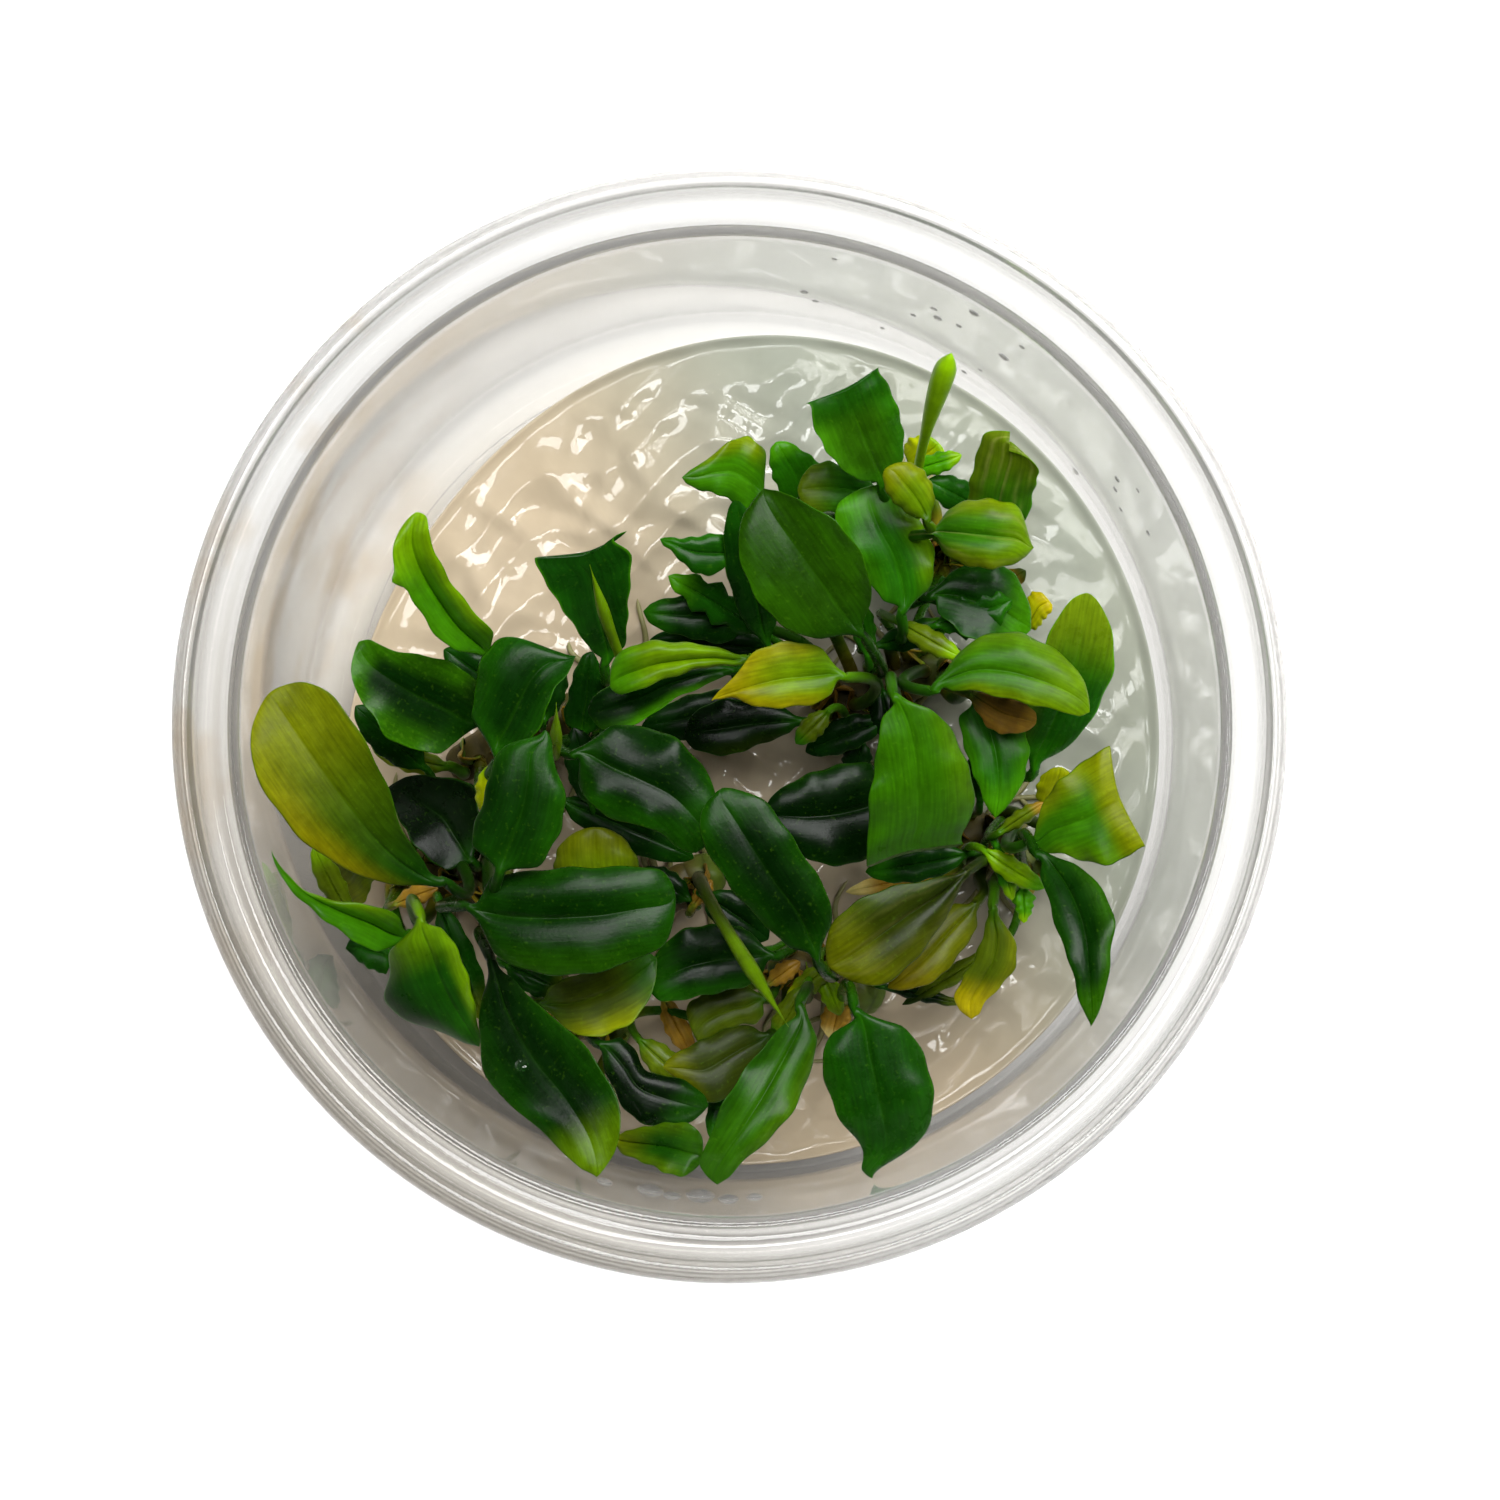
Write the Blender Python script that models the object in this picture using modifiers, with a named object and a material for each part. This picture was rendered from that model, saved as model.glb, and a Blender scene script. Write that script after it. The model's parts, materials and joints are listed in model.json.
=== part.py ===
# Golden anubias nana plantlets grown on gel in a clear, round, open culture cup.
# The origin is at the bottom centre of the cup, +Z is up, and the plants lean in the XY plane
# as they are seen from above with +X to the right and +Y to the top.
# Sizes and places below are in millimetres and angles in degrees; MM turns them into metres.

import math

import bpy
from mathutils import Matrix, Vector

MM = 0.001
GAP = 0.3
MERGE_DISTANCE = 0.1
SMOOTH_ANGLE = 50.0

# Cup
RIM_RADIUS = 50.0
CUP_HEIGHT = 50.0
LIP_THICKNESS = 0.8
LIP_DROP = 5.4
SEAT_RADIUS = 47.5
SEAT_HEIGHT = 46.6
MOUTH_RADIUS = 44.1
MOUTH_HEIGHT = 44.8
WALL_THICKNESS = 0.9
HEEL_RADIUS = 41.3
HEEL_HEIGHT = 5.0
FOOT_RADIUS = 39.2
FOOT_WIDTH = 1.6
FLOOR_RADIUS = 37.2
FLOOR_HEIGHT = 1.8
FLOOR_THICKNESS = 1.0
CUP_STEPS = 36

# Gel
GEL_DEPTH = 9.0
GEL_EDGE_DEPTH = 7.0
GEL_RADIUS = 40.6
GEL_BASE_RADIUS = 36.6
GEL_PULL = 5.0
GEL_PULL_HEADING = 145.0
GEL_LUMP = 0.5
GEL_SIDES = 26
GEL_RINGS = (0.96, 0.86, 0.71, 0.54, 0.37, 0.19)

# Rhizomes, roots and leaves
RHIZOME_RADIUS = 2.1
RHIZOME_SIDES = 8
RHIZOME_STATIONS = (0.05, 0.2, 0.4, 0.6, 0.8, 0.95)
BED_MARGIN = 0.1
GROWN_DEPTH = 0.8
ROOT_RADIUS = 0.7
ROOT_SIDES = 5
ROOT_SAG = 0.9
SPEAR_SIDES = 6
STALK_RADIUS = 0.7
BLADE_THICKNESS = 0.6
STALK_STATIONS = (0.0, 0.5, 0.9)
BLADE_STATIONS = (0.05, 0.2, 0.42, 0.65, 0.86)
SLIM_BLADE_STATIONS = (0.06, 0.26, 0.54, 0.82)
SMALL_BLADE_STATIONS = (0.08, 0.4, 0.78)
SLIM_WIDTH = 8.0
HANDLE = 0.36

# Finishes: base colour, roughness and metallic value
FINISHES = {
    "clear_plastic": ((0.86, 0.88, 0.88, 1.0), 0.12, 0.0),
    "culture_gel": ((0.62, 0.55, 0.42, 1.0), 0.15, 0.0),
    "rhizome": ((0.32, 0.21, 0.07, 1.0), 0.6, 0.0),
    "leaf_dark": ((0.012, 0.07, 0.012, 1.0), 0.35, 0.0),
    "leaf_green": ((0.04, 0.22, 0.01, 1.0), 0.35, 0.0),
    "leaf_gold": ((0.30, 0.38, 0.01, 1.0), 0.4, 0.0),
    "leaf_olive": ((0.12, 0.16, 0.012, 1.0), 0.45, 0.0),
    "leaf_dead": ((0.16, 0.06, 0.012, 1.0), 0.6, 0.0),
}


def clear_scene():
    for obj in list(bpy.data.objects):
        bpy.data.objects.remove(obj, do_unlink=True)


def make_collection(name):
    collection = bpy.data.collections.new(name)
    bpy.context.scene.collection.children.link(collection)
    return collection


def finish(name):
    """The Principled material of that name, made once."""
    if name in bpy.data.materials:
        return bpy.data.materials[name]
    colour, roughness, metallic = FINISHES[name]
    material = bpy.data.materials.new(name)
    material.use_nodes = True
    shader = material.node_tree.nodes["Principled BSDF"]
    shader.inputs["Base Color"].default_value = colour
    shader.inputs["Roughness"].default_value = roughness
    shader.inputs["Metallic"].default_value = metallic
    return material


def add_object(name, points, faces, material, collection):
    """A smooth-shaded mesh object from points in millimetres."""
    mesh = bpy.data.meshes.new(name)
    mesh.from_pydata([Vector(point) * MM for point in points], [], faces)
    mesh.shade_smooth()
    mesh.set_sharp_from_angle(angle=math.radians(SMOOTH_ANGLE))
    mesh.materials.append(finish(material))
    obj = bpy.data.objects.new(name, mesh)
    collection.objects.link(obj)
    return obj


def loft(name, rings, material, collection, first=None, last=None):
    """A closed skin over rings with the same number of points, each running anticlockwise
    as seen looking back along the loft. A first or last point closes that end in a fan,
    and without one the end ring is a flat face."""
    sides = len(rings[0])
    points = [point for ring in rings for point in ring]
    faces = []
    for ring in range(len(rings) - 1):
        low, high = ring * sides, (ring + 1) * sides
        for side in range(sides):
            after = (side + 1) % sides
            faces.append((low + side, low + after, high + after, high + side))
    end = (len(rings) - 1) * sides
    if first is None:
        faces.append(tuple(reversed(range(sides))))
    else:
        points.append(first)
        faces += [((side + 1) % sides, side, len(points) - 1) for side in range(sides)]
    if last is None:
        faces.append(tuple(range(end, end + sides)))
    else:
        points.append(last)
        faces += [(end + side, end + (side + 1) % sides, len(points) - 1) for side in range(sides)]
    return add_object(name, points, faces, material, collection)


def bezier(start, start_handle, end_handle, end, share):
    """The point and the direction at a share of the way along a cubic curve."""
    rest = 1 - share
    point = (
        start * rest**3
        + start_handle * 3 * rest**2 * share
        + end_handle * 3 * rest * share**2
        + end * share**3
    )
    direction = (
        (start_handle - start) * rest**2
        + (end_handle - start_handle) * 2 * rest * share
        + (end - end_handle) * share**2
    )
    return point, direction.normalized()


def make_cup(collection):
    """The cup is turned from one profile: floor, foot channel, inner wall, lid seat, lip,
    and back down the outside to the raised underside."""
    inner_heel = HEEL_RADIUS - 0.1
    outer_mouth = MOUTH_RADIUS + WALL_THICKNESS
    outer_heel = HEEL_RADIUS + WALL_THICKNESS
    profile = [
        (0, FLOOR_HEIGHT),
        (FLOOR_RADIUS, FLOOR_HEIGHT),
        (inner_heel - 0.6, HEEL_HEIGHT - 2.4),
        (inner_heel, HEEL_HEIGHT),
        (MOUTH_RADIUS, MOUTH_HEIGHT),
        (MOUTH_RADIUS + 1.3, SEAT_HEIGHT),
        (SEAT_RADIUS, SEAT_HEIGHT),
        (SEAT_RADIUS + 0.3, CUP_HEIGHT - 0.7),
        (SEAT_RADIUS + 0.9, CUP_HEIGHT),
        (RIM_RADIUS - 0.6, CUP_HEIGHT - 0.1),
        (RIM_RADIUS, CUP_HEIGHT - 1.0),
        (RIM_RADIUS, CUP_HEIGHT - LIP_DROP),
        (RIM_RADIUS - LIP_THICKNESS, CUP_HEIGHT - LIP_DROP),
        (RIM_RADIUS - LIP_THICKNESS, CUP_HEIGHT - 1.6),
        (SEAT_RADIUS + 1.1, CUP_HEIGHT - 1.6),
        (SEAT_RADIUS + 0.8, SEAT_HEIGHT - 0.9),
        (outer_mouth + 0.9, SEAT_HEIGHT - 1.1),
        (outer_mouth, MOUTH_HEIGHT - 0.9),
        (outer_heel, HEEL_HEIGHT - 1.0),
        (outer_heel - 0.7, HEEL_HEIGHT - 3.6),
        (FOOT_RADIUS, 0),
        (FOOT_RADIUS - FOOT_WIDTH, 0),
        (FOOT_RADIUS - FOOT_WIDTH - 0.9, FLOOR_HEIGHT - FLOOR_THICKNESS),
        (0, FLOOR_HEIGHT - FLOOR_THICKNESS),
    ]
    mesh = bpy.data.meshes.new("cup")
    edges = [(index, index + 1) for index in range(len(profile) - 1)]
    mesh.from_pydata([Vector((radius, 0, height)) * MM for radius, height in profile], edges, [])
    mesh.materials.append(finish("clear_plastic"))
    cup = bpy.data.objects.new("cup", mesh)
    collection.objects.link(cup)
    screw = cup.modifiers.new("turn", "SCREW")
    screw.steps = CUP_STEPS
    screw.render_steps = CUP_STEPS
    screw.use_merge_vertices = True
    screw.merge_threshold = MERGE_DISTANCE * MM
    screw.use_smooth_shade = True
    return cup


def gel_radius(heading):
    """The gel fills the cup except on one side, where it has drawn back from the wall."""
    away = (heading - GEL_PULL_HEADING + 180) % 360 - 180
    return GEL_RADIUS - GEL_PULL * math.exp(-((away / 55) ** 2))


def gel_top(x, y):
    """Height of the lumpy surface. The lumps are two crossing waves, larger where the gel drew back."""
    heading = math.degrees(math.atan2(y, x))
    share = min(1.0, math.hypot(x, y) / gel_radius(heading))
    lumps = math.sin(x / 3.9 + 0.7) * math.sin(y / 4.6 - 0.4) + 0.5 * math.sin((x - y) / 2.9)
    return GEL_EDGE_DEPTH + (GEL_DEPTH - GEL_EDGE_DEPTH) * (1 - share**4) + GEL_LUMP * lumps * (1 - share**6)


def make_gel(collection):
    """Rings from the underside out to the wall, over the edge and in across the top."""
    headings = [360 * side / GEL_SIDES for side in range(GEL_SIDES)]
    base = FLOOR_HEIGHT + GAP

    def ring(share, height):
        points = []
        for heading in headings:
            radius = share * gel_radius(heading)
            x = radius * math.cos(math.radians(heading))
            y = radius * math.sin(math.radians(heading))
            points.append((x, y, gel_top(x, y) if height is None else height))
        return points

    base_share = GEL_BASE_RADIUS / GEL_RADIUS
    rings = [ring(base_share, base), ring(1.0, base + 3.4), ring(1.0, GEL_EDGE_DEPTH - 0.5)]
    rings += [ring(share, None) for share in GEL_RINGS]
    return loft("gel", rings, "culture_gel", collection, (0, 0, base), (0, 0, gel_top(0, 0)))


class Rhizome:
    """A creeping stem that lies on the gel. Its path runs between two ends with a slight bow."""

    def __init__(self, name, start, end, bow, radius=RHIZOME_RADIUS):
        self.name = name
        self.radius = radius
        self.start = Vector((start[0], start[1], 0))
        self.end = Vector((end[0], end[1], 0))
        self.along = (self.end - self.start).normalized()
        self.left = Vector((-self.along.y, self.along.x, 0))
        self.length = (self.end - self.start).length
        self.bow = bow
        self.ends = self.bed(0), self.bed(1)
        self.lift = max(self.bed(share / 8) - self.slope(share / 8) for share in range(9))
        self.grown = []

    def plan(self, share):
        middle = 4 * share * (1 - share)
        return self.start.lerp(self.end, share) + self.left * self.bow * middle

    def bed(self, share):
        """The highest gel under a cross-section of the stem."""
        spots = [self.plan(share) + self.left * side * self.radius for side in (-0.7, 0, 0.7)]
        return max(gel_top(spot.x, spot.y) for spot in spots)

    def slope(self, share):
        return self.ends[0] + (self.ends[1] - self.ends[0]) * share

    def centre(self, share):
        point = self.plan(share)
        height = self.slope(share) + self.lift + self.radius + GAP + BED_MARGIN
        return Vector((point.x, point.y, height))

    def thickness(self, share):
        """Thick in the middle and blunt at both ends, with the swellings that leaf scars leave."""
        ends = (1 - abs(2 * share - 1) ** 5) ** 0.5
        return self.radius * (0.35 + 0.57 * ends + 0.08 * math.cos(share * self.length * 2.6))

    def foot(self, place, turn, depth):
        """A point on the stem, place from its middle and turn from straight up towards its left,
        with the direction out of the stem."""
        share = 0.5 + place / self.length
        outward = (
            Vector((0, 0, 1)) * math.cos(math.radians(turn)) + self.left * math.sin(math.radians(turn))
        )
        return self.centre(share) + outward * (self.radius + depth), outward

    def make(self):
        """The stem with everything that has grown together with it."""
        rings = []
        for share in RHIZOME_STATIONS:
            centre, reach = self.centre(share), self.thickness(share)
            ring = []
            for side in range(RHIZOME_SIDES):
                angle = 2 * math.pi * (side + 0.5) / RHIZOME_SIDES
                ring.append(
                    centre + self.left * reach * math.cos(angle) + Vector((0, 0, reach * math.sin(angle)))
                )
            rings.append(ring)
        body = loft(self.name, rings, "rhizome", PARTS, self.centre(0.0), self.centre(1.0))
        for index, piece in enumerate(self.grown):
            union = body.modifiers.new("grown_%d" % index, "BOOLEAN")
            union.operation = "UNION"
            union.solver = "EXACT"
            union.object = piece
        return body


def section_points(half_width, thickness, keel, fold, curl, stalk_share, stalk_radius):
    """Eight (across, up) points around one cross-section of a leaf. The blade is a thin strip whose
    halves leave the midrib at the fold angle and turn on by the curl angle to the margin.
    The stalk is round, and stalk_share blends from one to the other."""
    marks = [(1, 1), (1, 0.55), (0, 0), (-1, 0.55), (-1, 1), (-1, 0.55), (0, 0), (1, 0.55)]
    points = []
    for index, (side, reach) in enumerate(marks):
        turn = math.radians(fold + 0.5 * reach * curl[0 if side > 0 else 1])
        across = side * half_width * reach * math.cos(turn)
        up = abs(side) * half_width * reach * math.sin(turn)
        face = (0, 1, 1, 1, 0, -1, -1, -1)[index]
        up += face * thickness / 2 - (keel if index == 6 else 0)
        angle = index * math.pi / 4
        round_across, round_up = stalk_radius * math.cos(angle), stalk_radius * math.sin(angle)
        points.append(
            (
                across * (1 - stalk_share) + round_across * stalk_share,
                up * (1 - stalk_share) + round_up * stalk_share,
            )
        )
    return points


def blade_share(share, widest, point):
    """Half-width of the blade as a share of its greatest: a round base and a drawn-out tip."""
    if share < widest:
        return (1 - ((widest - share) / widest) ** 2.4) ** 0.48
    return (1 - ((share - widest) / (1 - widest)) ** 1.9) ** point


def across_midrib(direction, side, roll):
    """The direction across a leaf, square to its midrib and turned about it by the roll."""
    across = (side - direction * direction.dot(side)).normalized()
    return Matrix.Rotation(math.radians(roll), 3, direction) @ across


def leaf(
    name,
    rhizome,
    foot,
    neck,
    tip,
    width,
    colour,
    rise=12,
    drop=15,
    sway=0,
    roll=0,
    fold=8,
    curl=(10, 10),
    widest=0.45,
    point=0.8,
    stalk=STALK_RADIUS,
    grown=False,
):
    """One leaf: a round stalk from its foot on the rhizome to the neck, then the blade from the neck
    to the tip. The midrib leaves the neck at the rise angle above the straight line to the tip,
    ends at the drop angle below it, and bows to the left by the sway angle."""
    neck, tip = Vector(neck), Vector(tip)
    chord = tip - neck
    heading = chord.normalized()
    side = Vector((0, 0, 1)).cross(heading).normalized()
    up = heading.cross(side)
    rise, drop, sway = math.radians(rise), math.radians(drop), math.radians(sway)
    start = (heading * math.cos(rise) + up * math.sin(rise) + side * math.sin(sway)).normalized()
    end = (heading * math.cos(drop) - up * math.sin(drop) - side * math.sin(sway)).normalized()
    handle = chord.length * HANDLE
    blade_curve = (neck, neck + start * handle, tip - end * handle, tip)

    depth = -GROWN_DEPTH if grown else GAP
    base, outward = rhizome.foot(foot[0], foot[1], depth)
    reach = (neck - base).length * HANDLE
    arrive = (start + Vector((0, 0, 0.9))).normalized()
    stalk_curve = (base, base + outward * reach, neck - arrive * reach, neck)

    rings = []
    stalk_stations, blade_stations = STALK_STATIONS, BLADE_STATIONS
    if grown:
        stalk_stations, blade_stations = STALK_STATIONS[::2], SMALL_BLADE_STATIONS
    elif width <= SLIM_WIDTH:
        blade_stations = SLIM_BLADE_STATIONS
    for share in stalk_stations:
        centre, direction = bezier(*stalk_curve, share)
        across = across_midrib(direction, side, 0)
        normal = direction.cross(across)
        radius = stalk * (1.15 - 0.3 * share)
        points = section_points(0, 0, 0, 0, (0, 0), 1.0, radius)
        rings.append([centre + across * a + normal * b for a, b in points])
    for share in blade_stations:
        centre, direction = bezier(*blade_curve, share)
        across = across_midrib(direction, side, roll)
        normal = direction.cross(across)
        half_width = max(stalk, width / 2 * blade_share(share, widest, point))
        keel = stalk * (1 - share) ** 2
        stalk_share = max(0.0, 0.6 - share * 5)
        points = section_points(
            half_width, BLADE_THICKNESS, keel, fold, curl, stalk_share, stalk * 0.85
        )
        rings.append([centre + across * a + normal * b for a, b in points])
    piece = loft(name, rings, colour, HELPERS if grown else PARTS, None, tip)
    if grown:
        hide_helper(piece)
        rhizome.grown.append(piece)
    return piece


def tube(name, path, radii, sides, colour, collection):
    """A tapering round shoot or root along a path of points, with a pointed end."""
    rings = []
    for index, radius in enumerate(radii):
        here = Vector(path[index])
        before, after = Vector(path[max(0, index - 1)]), Vector(path[index + 1])
        direction = (after - before).normalized()
        across = Vector((0, 0, 1)).cross(direction)
        if across.length < 0.1:
            across = Vector((1, 0, 0))
        across = (across - direction * direction.dot(across)).normalized()
        normal = direction.cross(across)
        ring = []
        for side in range(sides):
            angle = 2 * math.pi * side / sides
            ring.append(here + across * radius * math.cos(angle) + normal * radius * math.sin(angle))
        rings.append(ring)
    return loft(name, rings, colour, collection, None, Vector(path[-1]))


def hide_helper(obj):
    obj.hide_render = True
    obj.display_type = "WIRE"


def spear(name, rhizome, place, middle, tip, radius, blunt=0.0, own_node=False, turn=0):
    """The newest leaf, still rolled: a slim shoot from the rhizome through a middle point to its tip."""
    base, outward = rhizome.foot(place, turn, GAP if own_node else -GROWN_DEPTH)
    bottom = base + outward * 2.5
    middle, tip = Vector(middle), Vector(tip)
    curve = (bottom, bottom + Vector((0, 0, 1)) * (middle - bottom).length * 0.4, middle, tip)
    path = [base] + [bezier(*curve, share)[0] for share in (0.0, 0.35, 0.62, 0.85, 1.0)]
    radii = (radius * 0.9, radius * 0.9, radius * 0.8, radius, radius * (0.8 + blunt))
    collection = PARTS if own_node else HELPERS
    shoot = tube(name, path, radii, SPEAR_SIDES, "leaf_green", collection)
    if not own_node:
        hide_helper(shoot)
        rhizome.grown.append(shoot)
    return shoot


def root(rhizome, share, turn, spread):
    """A root leaves the side of the rhizome, a share of its length from the middle,
    and bends down until it meets the gel."""
    base, outward = rhizome.foot(share * rhizome.length, turn, -GROWN_DEPTH)
    outward.z = 0
    heading = (outward.normalized() + rhizome.along * math.copysign(0.3, share)).normalized()
    knee = base + heading * spread * 0.55
    end = base + heading * spread
    knee.z = max(gel_top(knee.x, knee.y) + ROOT_RADIUS + 2 * GAP, base.z - ROOT_SAG)
    end.z = gel_top(end.x, end.y) + 2 * GAP
    name = "%s_root_%d" % (rhizome.name, len(rhizome.grown))
    radii = (ROOT_RADIUS, ROOT_RADIUS * 0.85)
    piece = tube(name, (base, knee, end), radii, ROOT_SIDES, "rhizome", HELPERS)
    hide_helper(piece)
    rhizome.grown.append(piece)


def west_plantlet():
    plant = Rhizome("west_rhizome", (-33, -11.5), (-20, -14.5), -0.8)
    leaf("west_leaf_1", plant, (-0.5, 30), (-27.0, -12.9, 37), (-39.3, 4.3, 43), 12.0, "leaf_gold",
         sway=28, widest=0.58, point=0.6)
    leaf("west_leaf_2", plant, (-5.6, 10), (-32.8, -10.8, 27), (-35.2, -16.8, 21), 7.5, "leaf_olive")
    leaf("west_leaf_3", plant, (-3.6, -35), (-30.3, -18.8, 35), (-41.4, -10.9, 42), 7.0, "leaf_green",
         sway=22, fold=50, point=1.5, widest=0.35)
    leaf("west_leaf_4", plant, (-1.2, -50), (-27.2, -18.4, 38), (-23.3, -29.0, 31), 8.4, "leaf_green",
         sway=-20, curl=(-25, -25), drop=25)
    leaf("west_leaf_5", plant, (1.8, -10), (-22.8, -16.6, 37), (-5.1, -14.2, 38), 10.0, "leaf_dark",
         sway=-16, widest=0.5, point=0.55)
    leaf("west_leaf_6", plant, (4.5, -40), (-21.4, -21.6, 34), (-12.3, -40.7, 42), 10.8, "leaf_dark",
         sway=3, widest=0.55)
    leaf("west_leaf_7", plant, (2.8, 35), (-21.6, -11.9, 40.5), (-17.0, 0.5, 42.5), 8.4, "leaf_green")
    leaf("west_leaf_8", plant, (-2.8, 55), (-24.0, -10.8, 21), (-32.1, -4.2, 18), 7.5, "leaf_dark")
    leaf("west_small_leaf", plant, (-5.8, -85), (-31.5, -16.5, 20), (-36.0, -20.6, 19), 5.0, "leaf_dark",
         grown=True)
    return plant


def northwest_plantlet():
    plant = Rhizome("northwest_rhizome", (-27, -3), (-8, 4.5), 0.8)
    leaf("northwest_leaf_1", plant, (-5.2, 30), (-23.5, -0.4, 30), (-34.4, 8.0, 35), 9.4, "leaf_dark")
    leaf("northwest_leaf_2", plant, (-7.2, -20), (-22.0, -2.4, 35.4), (-13.8, 7.2, 37.2), 9.2, "leaf_dark")
    leaf("northwest_leaf_3", plant, (-3.2, 50), (-22.3, 6.0, 34), (-29.2, 19.2, 43), 8.0, "leaf_green",
         fold=50, point=0.6)
    leaf("northwest_leaf_4", plant, (3.6, -30), (-13.6, -2.2, 33), (-2.4, -10.4, 33), 10.2, "leaf_dark")
    leaf("northwest_leaf_5", plant, (6.8, 30), (-11.9, 6.9, 28), (-14.4, 17.2, 36), 9.0, "leaf_dark",
         widest=0.75, drop=80)
    spear("northwest_spear_1", plant, 0.0, (-15.9, -5.6, 36.5), (-15.6, 2.1, 45), 0.6, turn=-40)
    spear("northwest_spear_2", plant, 9.2, (-10.4, 5.9, 34), (-12.7, 14.7, 42), 0.6)
    leaf("northwest_small_leaf_1", plant, (3.5, 20), (-13.5, 3.0, 21), (-15.5, 7.5, 24), 4.0, "leaf_dark",
         grown=True)
    leaf("northwest_small_leaf_2", plant, (-9.0, -30), (-27.5, -2.2, 17), (-34.0, -1.5, 17), 3.0,
         "leaf_olive", grown=True)
    return plant


def centre_plantlet():
    plant = Rhizome("centre_rhizome", (-9, -16), (-1, -12.5), 0.3)
    leaf("centre_leaf", plant, (-2.5, 30), (-11.2, -15.5, 28), (-12.5, -8.2, 30), 8.0, "leaf_gold",
         point=0.6)
    spear("centre_spear", plant, 2.0, (-2.5, -15.5, 34), (5.3, -27.1, 44), 0.75)
    return plant


def southwest_plantlet():
    plant = Rhizome("southwest_rhizome", (-18, -24.5), (-10, -28.5), 0.3)
    leaf("southwest_leaf_1", plant, (-3.0, 40), (-17.8, -23.4, 26), (-7.1, -20.9, 27), 8.0, "leaf_olive",
         sway=-30)
    leaf("southwest_leaf_2", plant, (1.5, 10), (-12.2, -28.4, 27), (-2.2, -34.8, 26), 7.6, "leaf_dark")
    leaf("southwest_leaf_3", plant, (3.5, -45), (-9.5, -36.9, 30), (-2.9, -40.2, 33), 5.5, "leaf_green",
         fold=25)
    return plant


def south_plantlet():
    plant = Rhizome("south_rhizome", (3, -21), (14, -25), 0.4)
    leaf("south_leaf_1", plant, (-1.0, -35), (6.3, -26.2, 34.5), (-1.4, -41.2, 37), 8.2, "leaf_green",
         sway=8, drop=45, widest=0.4)
    leaf("south_leaf_2", plant, (2.5, -20), (11.4, -26.2, 38), (14.0, -40.4, 34), 10.3, "leaf_dark",
         drop=30)
    leaf("south_leaf_3", plant, (-4.0, 45), (3.7, -20.8, 25), (-7.6, -23.8, 26), 7.2, "leaf_dark")
    leaf("south_leaf_4", plant, (-5.0, -10), (2.5, -23.4, 20), (-2.8, -29.3, 21), 5.5, "leaf_olive")
    leaf("south_leaf_5", plant, (-3.0, -50), (3.0, -27.5, 24), (-6.4, -31.4, 26), 6.5, "leaf_olive")
    leaf("south_leaf_6", plant, (-0.5, 30), (7.2, -20.4, 37), (-1.2, -5.6, 40), 9.2, "leaf_dark",
         widest=0.5, point=0.6)
    return plant


def east_plantlet():
    plant = Rhizome("east_rhizome", (20, -8), (29.5, -13), 0.4)
    leaf("east_leaf_1", plant, (1.2, 30), (28.2, -9.6, 34), (36.2, -6.0, 37), 9.0, "leaf_gold",
         widest=0.8, drop=80)
    leaf("east_leaf_2", plant, (3.4, -14), (28.6, -12.8, 37), (33.0, -27.2, 40), 6.6, "leaf_dark",
         sway=14, widest=0.35, point=1.3)
    leaf("east_leaf_3", plant, (-2.0, -35), (21.3, -13.9, 32), (8.8, -21.8, 33), 8.6, "leaf_olive",
         point=0.6)
    leaf("east_leaf_4", plant, (-0.5, -60), (22.8, -16.4, 25), (14.6, -24.0, 27), 6.0, "leaf_gold")
    leaf("east_leaf_5", plant, (1.5, -45), (23.8, -17.2, 30), (22.2, -26.5, 27), 5.8, "leaf_gold")
    leaf("east_small_leaf_1", plant, (-1.5, 60), (27.2, -6.8, 25), (30.6, -3.4, 28), 4.0, "leaf_olive",
         grown=True)
    leaf("east_small_leaf_2", plant, (4.6, -80), (27.3, -15.5, 24), (27.4, -18.8, 24), 3.0, "leaf_green",
         grown=True)
    return plant


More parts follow.
